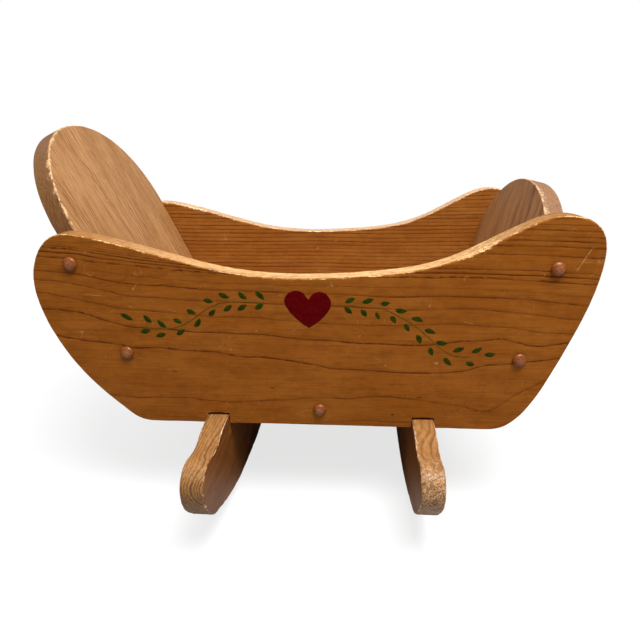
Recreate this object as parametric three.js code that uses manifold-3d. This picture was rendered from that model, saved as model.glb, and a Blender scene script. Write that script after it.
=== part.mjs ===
// Rocking doll cradle in pine: two shaped side boards, leaning arched head and foot boards,
// a bottom board, and two curved rockers let into notches under the sides. Wood screws in
// counterbored holes hold the boards together, and domed button plugs cover the screw heads.
// Millimetres, +Z up, -X head end, +X foot end, -Y front, +Y back.
// Origin: centre of the footprint, at floor level.

import * as THREE from 'three';
import { mergeVertices } from 'three/addons/utils/BufferGeometryUtils.js';
import Module from 'manifold-3d';

const wasm = await Module();
wasm.setup();

// ---------------------------------------------------------------- boards
const BOARD = 19.05;            // stock thickness of every board
const GAP = 0.3;                // clearance between neighbouring pieces
const EDGE = 2.2;               // eased edge on the boards and rockers

const HALF_WIDTH = 127.5;       // centre plane to the outer face of a side board
const INNER = HALF_WIDTH - BOARD;
const HALF_INSIDE = INNER - GAP;    // half width of the boards held between the sides

const DECK_BOTTOM = 103.9;      // underside of the bottom board
const DECK_TOP = DECK_BOTTOM + BOARD;

const SIDES = [
  { name: 'front', side: -1 },
  { name: 'back', side: 1 },
];

// ---------------------------------------------------------------- screws and plugs
const SCREW_RADIUS = 2.05;      // No. 8 wood screw
const SCREW_LENGTH = 34;
const SCREW_POINT = 6;          // length of the tapered point
const SCREW_HEAD_RADIUS = 4.1;
const SCREW_HEAD = 2.4;         // height of the flat head, rim included
const SCREW_RIM = 0.35;         // straight rim of the head
const RECESS = { length: 4.6, width: 1, height: 3 };   // one bar of the cross, centred on the head's top

const PILOT_RADIUS = 2.4;
const COUNTERSINK_EXTRA = 0.2;  // countersink depth beyond the screw head's height
const BORE_RADIUS = 4.75;       // counterbore for the plug
const BORE_DEPTH = 7.4;
const SIDE_SCREW_LIFT = 0.1;    // screw head's top above the counterbore's floor

const PLUG_HEAD_RADIUS = 6.4;   // 3/8 in button plug
const PLUG_DOME = 4.6;          // how far the dome stands off the board
const PLUG_TENON_RADIUS = 4.4;
const PLUG_TENON = 5.6;

const DECK_SCREW_Y = 60;        // rocker screws, each side of the centre plane
const DECK_SCREW_SINK = 1;      // recess above the rocker screws' countersinks
const DECK_SCREW_LIFT = 0.2;    // screw head's top above the recess's floor
const DECK_HOLE_RADIUS = SCREW_HEAD_RADIUS + 0.35;

const UPPER_SCREW_Z = 256.9;
const LOWER_SCREW_Z = 170.3;

// screws through each side board: name, x, z
const SIDE_FIXINGS = [
  ['head_upper', -204.95, UPPER_SCREW_Z],
  ['head_lower', -165.1, LOWER_SCREW_Z],
  ['foot_upper', 225.7, UPPER_SCREW_Z],
  ['foot_lower', 204.5, LOWER_SCREW_Z],
  ['bottom_mid', 19.75, 112.6],
];

// ---------------------------------------------------------------- head and foot boards
// outward: direction along x; lean: degrees from vertical, top outwards;
// innerX: inner face at the upper screws' height; archTop, archStart: measured up the board
// from that height. The half width at a fraction t of the arch's rise is
// full * (1 - t^risePower)^widthPower; powers of 2 and 0.5 give an ellipse.
const HEAD = {
  name: 'head', outward: -1, lean: 24.06, innerX: -193.85,
  archTop: 130.6, archStart: 23.6, risePower: 2.16, widthPower: 0.463,
};
const FOOT = {
  name: 'foot', outward: 1, lean: 12.75, innerX: 216.25,
  archTop: 66.6, archStart: 0, risePower: 1.6, widthPower: 0.49,
};
const END_BOARD_LOW = -190;     // lower end before trimming, measured as the arch is
const ARCH_STEPS = 36;

// ---------------------------------------------------------------- side board outline
const SIDE_POINTS = 96;

// x and z, running anticlockwise seen from the front, from the middle of the underside
const SIDE_OUTLINE = [
  [27.2, 94.4], [86.5, 94.4], [150.7, 94.4], [175.5, 94.4], [184, 94.5], [190.6, 95.1],
  [197.7, 97.2], [204.4, 101.7], [212.3, 110], [219.7, 121], [227.3, 135.6], [235.2, 154.7],
  [247.3, 188.4], [254.7, 211.7], [259.7, 231.4], [262.8, 249.9], [263.7, 264.3], [263, 275.5],
  [260.5, 284.1], [256.6, 290.7], [251.1, 295.6], [243.6, 299.4], [234.1, 301.6], [224.1, 301.9],
  [213.9, 300.1], [202.3, 295.9], [182.3, 285.7], [154.6, 271.1], [136.8, 263.1], [121.1, 257.7],
  [103.8, 253.6], [83.2, 250.4], [54.9, 247.7], [25.7, 245.9], [-0.5, 245.3], [-24.6, 246],
  [-47.1, 248], [-68.3, 251.2], [-91, 256.2], [-121, 264.3], [-156.4, 274.1], [-180.1, 279.6],
  [-199.3, 282.9], [-209.7, 283.3], [-217.2, 281.7], [-223.7, 278], [-230.2, 271.8],
  [-236, 263.2], [-240.3, 253.3], [-242.8, 242.6], [-243.4, 230.8], [-242.1, 217.7],
  [-238.7, 202.6], [-233.3, 186.8], [-226.2, 171.2], [-217.6, 156.1], [-207.4, 141.5],
  [-195.7, 127.7], [-180.1, 112], [-166.5, 99.8], [-160, 96.4], [-152, 94.7], [-143.5, 94.4],
  [-124, 94.4], [-85.6, 94.4], [-35.1, 94.4],
];

// ---------------------------------------------------------------- rocker dimensions
const ROCKER_SKEW = 0.0115;     // both sit a touch out of square: x gained per unit of y
const ROCKER_RADIUS = 465;      // rolling radius of the lower edge
const ROCKER_THICK = 21;
const ROCKER_TOP = DECK_BOTTOM - GAP;
const ROCKER_POINTS = 84;
const NOTCH_WIDTH = 21.9;
const NOTCH_TOP = 105.6;        // the notches are a little deeper than the rockers need
const NOTCH_CUTTER_HEIGHT = 40;

// stations along half of the lower edge, y from toe to centre
const LOWER_EDGE_Y = [180, 160, 135, 110, 85, 60, 35, 12];

// half of each rocker from its centre plane outwards along the top and round the toe, y and z.
// The foot rocker's toe is a little shorter and higher than the head rocker's.
const HEAD_ROCKER_HALF = [
  [0, 103.6], [40, 103.6], [80, 103.6], [112, 103.6], [128, 103.2], [141, 102.9], [150, 102.2],
  [157.5, 100.4], [164, 98], [171, 96.3], [180, 96.6], [190, 98.6], [199, 99.7], [206, 98.3],
  [211.8, 94.8], [216.2, 89.4], [218.6, 81.8], [218.4, 74], [216, 65.8], [211, 56.9],
  [203.6, 48.2], [195.2, 40.2],
];
const FOOT_ROCKER_HALF = [
  [0, 103.6], [40, 103.6], [80, 103.6], [112, 103.6], [128, 103.2], [141, 102.8], [150, 102],
  [158, 100], [164.5, 97.9], [171.5, 96.6], [180, 97.2], [189, 98.9], [196.5, 98.9], [202.8, 96.6],
  [208.2, 92.2], [211.6, 86.7], [213, 80.4], [212.2, 74], [209.4, 67.2], [204.8, 60], [199, 52.8],
  [192.3, 45.6],
];

// drop: how far the lower edge runs below the rolling radius, at y out from the centre plane
const ROCKERS = [
  {
    name: 'head', x: -80.45, half: HEAD_ROCKER_HALF,
    drop: (y) => 3 * THREE.MathUtils.smoothstep(y, 50, 130),
  },
  { name: 'foot', x: 122.25, half: FOOT_ROCKER_HALF, drop: () => 0 },
];

// ---------------------------------------------------------------- materials
const MATERIALS = {
  side: { color: 0x9a5c22, roughness: 0.5 },
  head: { color: 0xc68d58, roughness: 0.55 },
  foot: { color: 0xb07a48, roughness: 0.55 },
  bottom: { color: 0xb98048, roughness: 0.6 },
  rocker: { color: 0xb57a3f, roughness: 0.55 },
  plug: { color: 0x8a5230, roughness: 0.35 },
  screw: { color: 0x8c8c8e, roughness: 0.4, metalness: 0.9 },
};

// ---------------------------------------------------------------- helpers
const cradle = new THREE.Group();

function add(name, geometry, finish, parent = cradle) {
  const mesh = new THREE.Mesh(geometry, new THREE.MeshStandardMaterial(finish));
  mesh.name = name;
  parent.add(mesh);
  return mesh;
}

const vector2 = ([x, y]) => new THREE.Vector2(x, y);

// a smooth loop through the points, resampled at even spacing
function closedSpline(points, count) {
  const knots = points.map(([x, y]) => new THREE.Vector3(x, y, 0));
  const curve = new THREE.CatmullRomCurve3(knots, true, 'centripetal');
  curve.arcLengthDivisions = 2000;
  return curve.getSpacedPoints(count).slice(0, count).map(vector2);
}

// a board cut to an outline, with its edges eased, from z = 0 to z = thickness
function board(outline, thickness) {
  return new THREE.ExtrudeGeometry(new THREE.Shape(outline), {
    depth: thickness - 2 * EDGE, steps: 1, curveSegments: 1,
    bevelEnabled: true, bevelThickness: EDGE, bevelSize: EDGE, bevelOffset: -EDGE,
    bevelSegments: 1,
  }).translate(0, 0, EDGE);
}

function boxAt(x, y, z, sizeX, sizeY, sizeZ) {
  return new THREE.BoxGeometry(sizeX, sizeY, sizeZ).translate(x, y, z);
}

// a turned form about its own +Z, profile given as [radius, z]
function turned(profile, segments) {
  return new THREE.LatheGeometry(profile.map(vector2), segments).rotateX(Math.PI / 2);
}

function toSolid(geometry) {
  const bare = geometry.clone();
  // normals and uvs would keep the shared corners from merging
  bare.deleteAttribute('normal');
  bare.deleteAttribute('uv');
  const merged = mergeVertices(bare, 1e-4);
  return new wasm.Manifold(new wasm.Mesh({
    numProp: 3,
    vertProperties: new Float32Array(merged.attributes.position.array),
    triVerts: new Uint32Array(merged.index.array),
  }));
}

function toGeometry(solid) {
  const mesh = solid.getMesh();
  const geometry = new THREE.BufferGeometry();
  const positions = new Float32Array(mesh.vertProperties);
  geometry.setAttribute('position', new THREE.BufferAttribute(positions, 3));
  geometry.setIndex(new THREE.BufferAttribute(new Uint32Array(mesh.triVerts), 1));
  geometry.computeVertexNormals();
  return geometry;
}

function cut(geometry, ...cutters) {
  let solid = toSolid(geometry);
  for (const cutter of cutters) solid = solid.subtract(toSolid(cutter));
  return toGeometry(solid);
}

// ---------------------------------------------------------------- hole cutters
// Cutters enter along -Z from z = 0 and start a little above it.

// straight recess, countersink below it, then a clearance hole
function screwHole(radius, recess, length) {
  return turned([
    [0, -length], [PILOT_RADIUS, -length],
    [PILOT_RADIUS, -recess - SCREW_HEAD - COUNTERSINK_EXTRA],
    [radius, -recess], [radius, 1], [0, 1],
  ], 16);
}

function pilotHole(depth) {
  return turned([[0, -depth], [PILOT_RADIUS, 1 - depth], [PILOT_RADIUS, 4], [0, 4]], 12);
}

// turn about X that points local +Z out of a side board
const outwardTurn = (side) => -side * Math.PI / 2;

// pilots for the side screws whose names start with the prefix, in the board they enter
function sidePilots(prefix) {
  return SIDE_FIXINGS.filter(([name]) => name.startsWith(prefix)).flatMap(([, x, z]) =>
    SIDES.map(({ side }) =>
      pilotHole(26).rotateX(outwardTurn(side)).translate(x, side * INNER, z)));
}

// x of a skewed rocker's centre line at a given y
const rockerXAt = (x, y) => x + ROCKER_SKEW * y;

// a pair of hole cutters on the rocker screws' axes, entering at height z
function rockerScrewHoles(x, z, makeCutter) {
  return SIDES.map(({ side }) => {
    const y = side * DECK_SCREW_Y;
    return makeCutter().translate(rockerXAt(x, y), y, z);
  });
}

// ---------------------------------------------------------------- side boards
function sideBoard(side) {
  const backFaceY = side < 0 ? -INNER : HALF_WIDTH;
  const blank = board(closedSpline(SIDE_OUTLINE, SIDE_POINTS), BOARD)
    .rotateX(Math.PI / 2).translate(0, backFaceY, 0);
  const middleY = side * (HALF_WIDTH - BOARD / 2);
  const notches = ROCKERS.map(({ x }) => boxAt(
    rockerXAt(x, middleY), middleY, NOTCH_TOP - NOTCH_CUTTER_HEIGHT / 2,
    NOTCH_WIDTH, BOARD + 4, NOTCH_CUTTER_HEIGHT));
  const holes = SIDE_FIXINGS.map(([, x, z]) =>
    screwHole(BORE_RADIUS, BORE_DEPTH, BOARD + 2)
      .rotateX(outwardTurn(side)).translate(x, side * HALF_WIDTH, z));
  return cut(blank, ...notches, ...holes);
}

for (const { name, side } of SIDES) add(`side_board_${name}`, sideBoard(side), MATERIALS.side);

// ---------------------------------------------------------------- head and foot boards
function archOutline({ archTop, archStart, risePower, widthPower }) {
  const points = [[-HALF_INSIDE, END_BOARD_LOW], [HALF_INSIDE, END_BOARD_LOW]];
  for (let i = 0; i <= ARCH_STEPS; i++) {
    const angle = (Math.PI * i) / ARCH_STEPS;
    const cos = Math.cos(angle);
    const sin = Math.sin(angle);
    points.push([
      HALF_INSIDE * Math.sign(cos) * Math.abs(cos) ** (2 * widthPower),
      archStart + (archTop - archStart) * Math.abs(sin) ** (2 / risePower),
    ]);
  }
  return points.map(vector2);
}

function endBoard(end) {
  const lean = THREE.MathUtils.degToRad(end.lean);
  const up = new THREE.Vector3(end.outward * Math.sin(lean), 0, Math.cos(lean));
  const out = new THREE.Vector3(end.outward * Math.cos(lean), 0, -Math.sin(lean));
  const across = new THREE.Vector3().crossVectors(up, out);
  const place = new THREE.Matrix4().makeBasis(across, up, out)
    .setPosition(end.innerX, 0, UPPER_SCREW_Z);
  const blank = board(archOutline(end), BOARD).applyMatrix4(place);
  // trims the lower end level with the underside of the bottom board
  const trim = boxAt(0, 0, DECK_BOTTOM - 100, 800, 400, 200);
  return cut(blank, trim, ...sidePilots(end.name));
}

for (const end of [HEAD, FOOT]) add(`${end.name}board`, endBoard(end), MATERIALS[end.name]);

// ---------------------------------------------------------------- bottom board
// x of the bottom board's end at height z, clear of the leaning end board
function deckEndX({ outward, lean, innerX }, z) {
  const slope = Math.tan(THREE.MathUtils.degToRad(lean));
  return innerX - outward * ((UPPER_SCREW_Z - z) * slope + GAP);
}

function bottomBoard() {
  const section = new THREE.Shape([
    [deckEndX(HEAD, DECK_BOTTOM), DECK_BOTTOM], [deckEndX(FOOT, DECK_BOTTOM), DECK_BOTTOM],
    [deckEndX(FOOT, DECK_TOP), DECK_TOP], [deckEndX(HEAD, DECK_TOP), DECK_TOP],
  ].map(vector2));
  const blank = new THREE.ExtrudeGeometry(section, {
    depth: 2 * HALF_INSIDE, steps: 1, bevelEnabled: false,
  }).rotateX(Math.PI / 2).translate(0, HALF_INSIDE, 0);
  const makeHole = () => screwHole(DECK_HOLE_RADIUS, DECK_SCREW_SINK, BOARD + 3);
  const holes = ROCKERS.flatMap(({ x }) => rockerScrewHoles(x, DECK_TOP, makeHole));
  return cut(blank, ...holes, ...sidePilots('bottom'));
}

add('bottom_board', bottomBoard(), MATERIALS.bottom);

// ---------------------------------------------------------------- rockers
function rockerOutline({ half, drop }) {
  const lowerEdge = LOWER_EDGE_Y.map((y) =>
    [y, ROCKER_RADIUS - Math.sqrt(ROCKER_RADIUS ** 2 - y * y) - drop(y)]);
  const right = [...half, ...lowerEdge];
  // the centre point is shared, so the mirrored half leaves it out
  const left = right.slice(1).reverse().map(([y, z]) => [-y, z]);
  return closedSpline([...right, ...left].reverse(), ROCKER_POINTS);
}

function rocker(spec) {
  // the outline's plane becomes y and z, its thickness x
  const upright = new THREE.Matrix4().makeBasis(
    new THREE.Vector3(0, 1, 0), new THREE.Vector3(0, 0, 1), new THREE.Vector3(1, 0, 0));
  const blank = board(rockerOutline(spec), ROCKER_THICK)
    .applyMatrix4(upright)
    .translate(-ROCKER_THICK / 2, 0, 0)
    .rotateZ(-Math.atan(ROCKER_SKEW))
    .translate(spec.x, 0, 0);
  return cut(blank, ...rockerScrewHoles(spec.x, ROCKER_TOP, () => pilotHole(24)));
}

for (const spec of ROCKERS) add(`rocker_${spec.name}`, rocker(spec), MATERIALS.rocker);

// ---------------------------------------------------------------- plugs and screws
// button plug about +Z: tenon in the counterbore, domed head standing off the board
function buttonPlug() {
  return turned([
    [0, -PLUG_TENON], [PLUG_TENON_RADIUS, -PLUG_TENON], [PLUG_TENON_RADIUS, GAP],
    [PLUG_HEAD_RADIUS, GAP], [PLUG_HEAD_RADIUS, 1.3],
    [PLUG_HEAD_RADIUS * 0.88, 2.6], [PLUG_HEAD_RADIUS * 0.55, 4], [0, PLUG_DOME],
  ], 16);
}

// wood screw about +Z, flat head at z = 0, cross recess, tapered point
function woodScrew() {
  const recessBar = () => boxAt(0, 0, 0, RECESS.length, RECESS.width, RECESS.height);
  const blank = turned([
    [0, -SCREW_LENGTH], [SCREW_RADIUS, -SCREW_LENGTH + SCREW_POINT],
    [SCREW_RADIUS, -SCREW_HEAD], [SCREW_HEAD_RADIUS, -SCREW_RIM], [SCREW_HEAD_RADIUS, 0], [0, 0],
  ], 12);
  return cut(blank, recessBar(), recessBar().rotateZ(Math.PI / 2));
}

for (const { name, side } of SIDES) {
  for (const [place, x, z] of SIDE_FIXINGS) {
    const fixing = new THREE.Group();
    fixing.position.set(x, side * HALF_WIDTH, z);
    fixing.rotation.x = outwardTurn(side);
    add(`button_plug_${name}_${place}`, buttonPlug(), MATERIALS.plug, fixing);
    const screw = add(`screw_${name}_${place}`, woodScrew(), MATERIALS.screw, fixing);
    screw.position.z = -BORE_DEPTH + SIDE_SCREW_LIFT;
    cradle.add(fixing);
  }
}

for (const { name: rockerName, x } of ROCKERS) {
  for (const { name, side } of SIDES) {
    const screw = add(`rocker_screw_${rockerName}_${name}`, woodScrew(), MATERIALS.screw);
    const y = side * DECK_SCREW_Y;
    screw.position.set(rockerXAt(x, y), y, DECK_TOP - DECK_SCREW_SINK + DECK_SCREW_LIFT);
  }
}

export default cradle;
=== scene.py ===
"""A wooden doll's cradle: two shaped side boards, two leaning end boards, a bottom board, two
rockers, button plugs over wood screws, and a painted heart with stems and leaves.

It stands on z = 0. X runs from the head (-x) to the foot (+x), and the painted side board is the
front (-y). Lengths are in millimetres and are turned into metres when a mesh is made.
"""
import math
from types import SimpleNamespace

import bmesh
import bpy
import numpy as np
from mathutils import Matrix, Vector
from mathutils.geometry import delaunay_2d_cdt
from mathutils.kdtree import KDTree


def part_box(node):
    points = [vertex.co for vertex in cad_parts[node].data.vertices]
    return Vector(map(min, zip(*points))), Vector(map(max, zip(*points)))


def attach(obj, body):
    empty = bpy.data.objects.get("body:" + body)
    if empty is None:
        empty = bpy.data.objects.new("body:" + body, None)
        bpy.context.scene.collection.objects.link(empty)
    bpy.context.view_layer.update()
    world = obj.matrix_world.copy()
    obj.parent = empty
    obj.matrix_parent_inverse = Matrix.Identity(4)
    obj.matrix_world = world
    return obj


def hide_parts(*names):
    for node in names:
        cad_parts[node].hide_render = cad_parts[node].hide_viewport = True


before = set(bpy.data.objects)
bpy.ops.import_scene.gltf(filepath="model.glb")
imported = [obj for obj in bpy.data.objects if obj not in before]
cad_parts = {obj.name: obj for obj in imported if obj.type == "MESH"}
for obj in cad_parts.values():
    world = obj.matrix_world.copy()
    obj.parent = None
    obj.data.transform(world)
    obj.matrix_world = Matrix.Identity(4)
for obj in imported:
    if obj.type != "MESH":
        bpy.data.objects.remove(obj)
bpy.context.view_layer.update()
MM = 0.001


# ---------------------------------------------------------------- places taken from the frame
def box(node):
    low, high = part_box(node)
    return np.array(low) / MM, np.array(high) / MM


def middle(node):
    low, high = box(node)
    return (low + high) / 2


FRONT_OUT, FRONT_IN = [corner[1] for corner in box("side_board_front")]
BACK_IN, BACK_OUT = [corner[1] for corner in box("side_board_back")]
DECK_BOTTOM, DECK_TOP = [corner[2] for corner in box("bottom_board")]
BOARD = FRONT_IN - FRONT_OUT                     # board thickness
PLACES = ["head_upper", "head_lower", "foot_upper", "foot_lower", "bottom_mid"]
FIXINGS = {}                                     # place: (x, z) of the screw through the side
for place in PLACES:
    centre = middle("button_plug_front_" + place)
    FIXINGS[place] = (centre[0], centre[2])
PIN_Z = FIXINGS["head_upper"][1]                 # end boards are measured from this height

FIT_GAP = 0.3                                    # clearance where boards meet
ROCKER_X = [middle("rocker_head")[0], middle("rocker_foot")[0]]
ROCKER_T = 21.0
ROCKER_SKEW = 0.0115                             # x per y: both rockers sit out of square
ROCKER_RADIUS = 465.0                            # of the underside
ROCKER_SCREW_Y = 60.0
UNDERSIDE = 94.4                                 # straight lower edge of the side boards
NOTCH_TOP = 105.6
NOTCH_W = 21.9
BORE_R, BORE_DEPTH, PILOT_R = 4.75, 7.4, 2.4
PLUG_H = 4.6

# End boards. x is the outer face at PIN_Z, lean is in degrees. The arched top has its spring line
# and crown at spring and top, and side_power and rise_power bend it from an ellipse.
# ring_slope is the growth ring shift per mm across, up and through; front_wear is the bare wood
# on the edge nearest the front.
HEAD = dict(
    end=-1, lean=24.06, x=-193.85, top=130.6, spring=23.6, rise_power=2.16, side_power=0.463,
    seed=41, ring_spacing=3.3, ring_origin=-8.0, ring_slope=(0.80, 0.10, 0.85), ring_arch=7.0,
    front_wear=dict(amount=1.5, reach=7, on_face=0.6, ripple=0.7, span=6))
FOOT = dict(
    end=1, lean=12.75, x=216.25, top=66.6, spring=0.0, rise_power=1.6, side_power=0.49,
    seed=51, ring_spacing=3.6, ring_origin=14.0, ring_slope=(0.24, 0.05, 1.0), ring_arch=0.0,
    front_wear=dict(amount=2.6, reach=9, on_face=0.0, ripple=0.6, span=5))

# Side board outline, x and z, anticlockwise seen from the front
SIDE_OUTLINE = [
    (27.2, 94.4), (86.5, 94.4), (150.7, 94.4), (175.5, 94.4), (184, 94.5), (190.6, 95.1),
    (197.7, 97.2), (204.4, 101.7), (212.3, 110), (219.7, 121), (227.3, 135.6), (235.2, 154.7),
    (247.3, 188.4), (254.7, 211.7), (259.7, 231.4), (262.8, 249.9), (263.7, 264.3), (263, 275.5),
    (260.5, 284.1), (256.6, 290.7), (251.1, 295.6), (243.6, 299.4), (234.1, 301.6),
    (224.1, 301.9), (213.9, 300.1), (202.3, 295.9), (182.3, 285.7), (154.6, 271.1),
    (136.8, 263.1), (121.1, 257.7), (103.8, 253.6), (83.2, 250.4), (54.9, 247.7), (25.7, 245.9),
    (-0.5, 245.3), (-24.6, 246), (-47.1, 248), (-68.3, 251.2), (-91, 256.2), (-121, 264.3),
    (-156.4, 274.1), (-180.1, 279.6), (-199.3, 282.9), (-209.7, 283.3), (-217.2, 281.7),
    (-223.7, 278), (-230.2, 271.8), (-236, 263.2), (-240.3, 253.3), (-242.8, 242.6),
    (-243.4, 230.8), (-242.1, 217.7), (-238.7, 202.6), (-233.3, 186.8), (-226.2, 171.2),
    (-217.6, 156.1), (-207.4, 141.5), (-195.7, 127.7), (-180.1, 112), (-166.5, 99.8),
    (-160, 96.4), (-152, 94.7), (-143.5, 94.4), (-124, 94.4), (-85.6, 94.4), (-35.1, 94.4),
]
# Rocker outlines, y and z, from the middle of the top edge round the toe at +y
HEAD_ROCKER = [
    (0, 103.6), (40, 103.6), (80, 103.6), (112, 103.6), (128, 103.2), (141, 102.9), (150, 102.2),
    (157.5, 100.4), (164, 98), (171, 96.3), (180, 96.6), (190, 98.6), (199, 99.7), (206, 98.3),
    (211.8, 94.8), (216.2, 89.4), (218.6, 81.8), (218.4, 74), (216, 65.8), (211, 56.9),
    (203.6, 48.2), (195.2, 40.2),
]
FOOT_ROCKER = [
    (0, 103.6), (40, 103.6), (80, 103.6), (112, 103.6), (128, 103.2), (141, 102.8), (150, 102),
    (158, 100), (164.5, 97.9), (171.5, 96.6), (180, 97.2), (189, 98.9), (196.5, 98.9),
    (202.8, 96.6), (208.2, 92.2), (211.6, 86.7), (213, 80.4), (212.2, 74), (209.4, 67.2),
    (204.8, 60), (199, 52.8), (192.3, 45.6),
]


# ---------------------------------------------------------------- noise and curves
def smooth01(x):
    x = np.clip(x, 0, 1)
    return x * x * (3 - 2 * x)


def loop_noise(size, bumps, seed):
    """Smooth periodic noise in -1..1 with about this many bumps round a loop of points."""
    rng = np.random.default_rng(seed)
    bumps = max(3, int(bumps))
    values = rng.uniform(-1, 1, bumps)
    t = np.arange(size) / size * bumps
    cell = np.floor(t).astype(int)
    blend = smooth01(t - cell)
    return values[cell % bumps] * (1 - blend) + values[(cell + 1) % bumps] * blend


def grid_noise(x, y, seed):
    """Smooth 2D value noise in -1..1, one cell per unit."""
    def corner(i, j):
        mixed = (i * 374761393 + j * 668265263 + seed * 362437) & 0x7FFFFFFF
        mixed = ((mixed ^ (mixed >> 13)) * 1274126177) & 0x7FFFFFFF
        return ((mixed ^ (mixed >> 16)) & 0xFFFF) / 32767.5 - 1.0
    x, y = np.asarray(x, float), np.asarray(y, float)
    i, j = np.floor(x).astype(np.int64), np.floor(y).astype(np.int64)
    across, up = smooth01(x - i), smooth01(y - j)
    return ((corner(i, j) * (1 - across) + corner(i + 1, j) * across) * (1 - up)
            + (corner(i, j + 1) * (1 - across) + corner(i + 1, j + 1) * across) * up)


def hash01(number, seed):
    value = np.sin(number * 12.9898 + seed * 78.233) * 43758.5453
    return value - np.floor(value)


def unit(vectors):
    return vectors / np.maximum(np.linalg.norm(vectors, axis=1), 1e-9)[:, None]


def turn_left(vectors):
    """Vectors turned 90 degrees: tangents of an anticlockwise loop become inward normals."""
    return np.stack([-vectors[:, 1], vectors[:, 0]], 1)


def tangents(loop):
    return unit(np.roll(loop, -1, axis=0) - np.roll(loop, 1, axis=0))


def anticlockwise(loop):
    following = np.roll(loop, -1, axis=0)
    area = (loop[:, 0] * following[:, 1] - following[:, 0] * loop[:, 1]).sum()
    return loop[::-1] if area < 0 else loop


def even(points, count=None, step=None, closed=True):
    """Points spaced evenly along a polyline, by count or by step."""
    path = np.vstack([points, points[:1]]) if closed else points
    lengths = np.linalg.norm(np.diff(path, axis=0), axis=1)
    along = np.concatenate([[0], np.cumsum(lengths)])
    if count is None:
        count = max(2, int(round(along[-1] / step)) + (0 if closed else 1))
    if closed:
        stations = np.linspace(0, along[-1], count + 1)[:-1]
    else:
        stations = np.linspace(0, along[-1], count)
    return np.stack([np.interp(stations, along, path[:, axis]) for axis in range(2)], 1)


def spline(points, count=900):
    """Closed centripetal Catmull-Rom through the points, evenly spaced."""
    points = np.array(points, float)
    size = len(points)
    out = []
    for i in range(size):
        p0, p1, p2, p3 = [points[(i + k) % size] for k in (-1, 0, 1, 2)]
        d0, d1, d2 = [max(1e-4, np.linalg.norm(end - start)) ** 0.5
                      for start, end in ((p0, p1), (p1, p2), (p2, p3))]
        t1 = ((p1 - p0) / d0 - (p2 - p0) / (d0 + d1) + (p2 - p1) / d1) * d1
        t2 = ((p2 - p1) / d1 - (p3 - p1) / (d1 + d2) + (p3 - p2) / d2) * d1
        for s in np.linspace(0, 1, 40, endpoint=False):
            out.append(p1 + t1 * s + (-3 * p1 + 3 * p2 - 2 * t1 - t2) * s * s
                       + (2 * p1 - 2 * p2 + t1 + t2) * s ** 3)
    return even(np.array(out), count=count)


def smooth_path(points, step=0.8):
    """Open Catmull-Rom through the points, evenly spaced."""
    points = np.array(points, float)
    points = np.vstack([2 * points[0] - points[1], points, 2 * points[-1] - points[-2]])
    out = []
    for i in range(1, len(points) - 2):
        p0, p1, p2, p3 = points[i - 1:i + 3]
        for s in np.linspace(0, 1, 16, endpoint=False):
            out.append(0.5 * ((2 * p1) + (-p0 + p2) * s + (2 * p0 - 5 * p1 + 4 * p2 - p3) * s * s
                              + (-p0 + 3 * p1 - 3 * p2 + p3) * s ** 3))
    out.append(points[-2])
    return even(np.array(out), step=step, closed=False)


def resample(outline, step):
    """Evenly spaced loop that keeps sharp corners, and a flag for each point that is one."""
    points = anticlockwise(np.array(outline, float))
    size = len(points)
    before = points - np.roll(points, 1, axis=0)
    after = np.roll(points, -1, axis=0) - points
    turn = np.abs(np.arctan2(before[:, 0] * after[:, 1] - before[:, 1] * after[:, 0],
                             (before * after).sum(1)))
    corners = np.where(turn > math.radians(28))[0]
    if len(corners) == 0:
        loop = even(points, step=step)
        return loop, np.zeros(len(loop), bool)
    out, flags = [], []
    for start, end in zip(corners, np.roll(corners, -1)):
        stop = end if end > start else end + size
        side = points[np.arange(start, stop + 1) % size]
        run = even(side, step=step, closed=False)
        if len(run) < 3:
            run = even(side, count=3, closed=False)
        out.append(run[:-1])
        flags += [True] + [False] * (len(run) - 2)
    return np.vstack(out), np.array(flags)


def inside(points, loop):
    """Even-odd test of points against a closed loop."""
    x, y = points[:, 0], points[:, 1]
    result = np.zeros(len(points), bool)
    for (x0, y0), (x1, y1) in zip(loop, np.roll(loop, -1, axis=0)):
        if y0 == y1:
            continue
        crosses = (y0 > y) != (y1 > y)
        result ^= crosses & (x < (x1 - x0) * (y - y0) / (y1 - y0) + x0)
    return result


def point_tree(points):
    tree = KDTree(len(points))
    for i, (x, y) in enumerate(points):
        tree.insert((x, y, 0), i)
    tree.balance()
    return tree


def fill(ring, inner, first, next_index):
    """Triangles over a ring. Ring vertices count from first, new ones from next_index."""
    size = len(ring)
    points = [Vector(tuple(p)) for p in (*ring, *inner)]
    edges = [(i, (i + 1) % size) for i in range(size)]
    found, _, triangles, origins, _, _ = delaunay_2d_cdt(points, edges, [], 1, 1e-6)
    index, added = [], []
    for point, origin in zip(found, origins):
        on_ring = [i for i in origin if i < size]
        if on_ring:
            index.append(first + on_ring[0])
        else:
            index.append(next_index + len(added))
            added.append((point.x, point.y))
    return added, [[index[i] for i in triangle] for triangle in triangles]


# ---------------------------------------------------------------- mesh tools
def smooth_shade(mesh):
    mesh.polygons.foreach_set("use_smooth", [True] * len(mesh.polygons))


def new_mesh(name, verts, faces):
    mesh = bpy.data.meshes.new(name)
    mesh.from_pydata([tuple(v) for v in np.asarray(verts).tolist()], [], faces)
    mesh.validate()
    smooth_shade(mesh)
    mesh.update()
    ob = bpy.data.objects.new(name, mesh)
    bpy.context.scene.collection.objects.link(ob)
    return ob


def recalc_normals(mesh):
    bm = bmesh.new()
    bm.from_mesh(mesh)
    bmesh.ops.recalc_face_normals(bm, faces=bm.faces)
    bm.to_mesh(mesh)
    bm.free()


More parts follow.
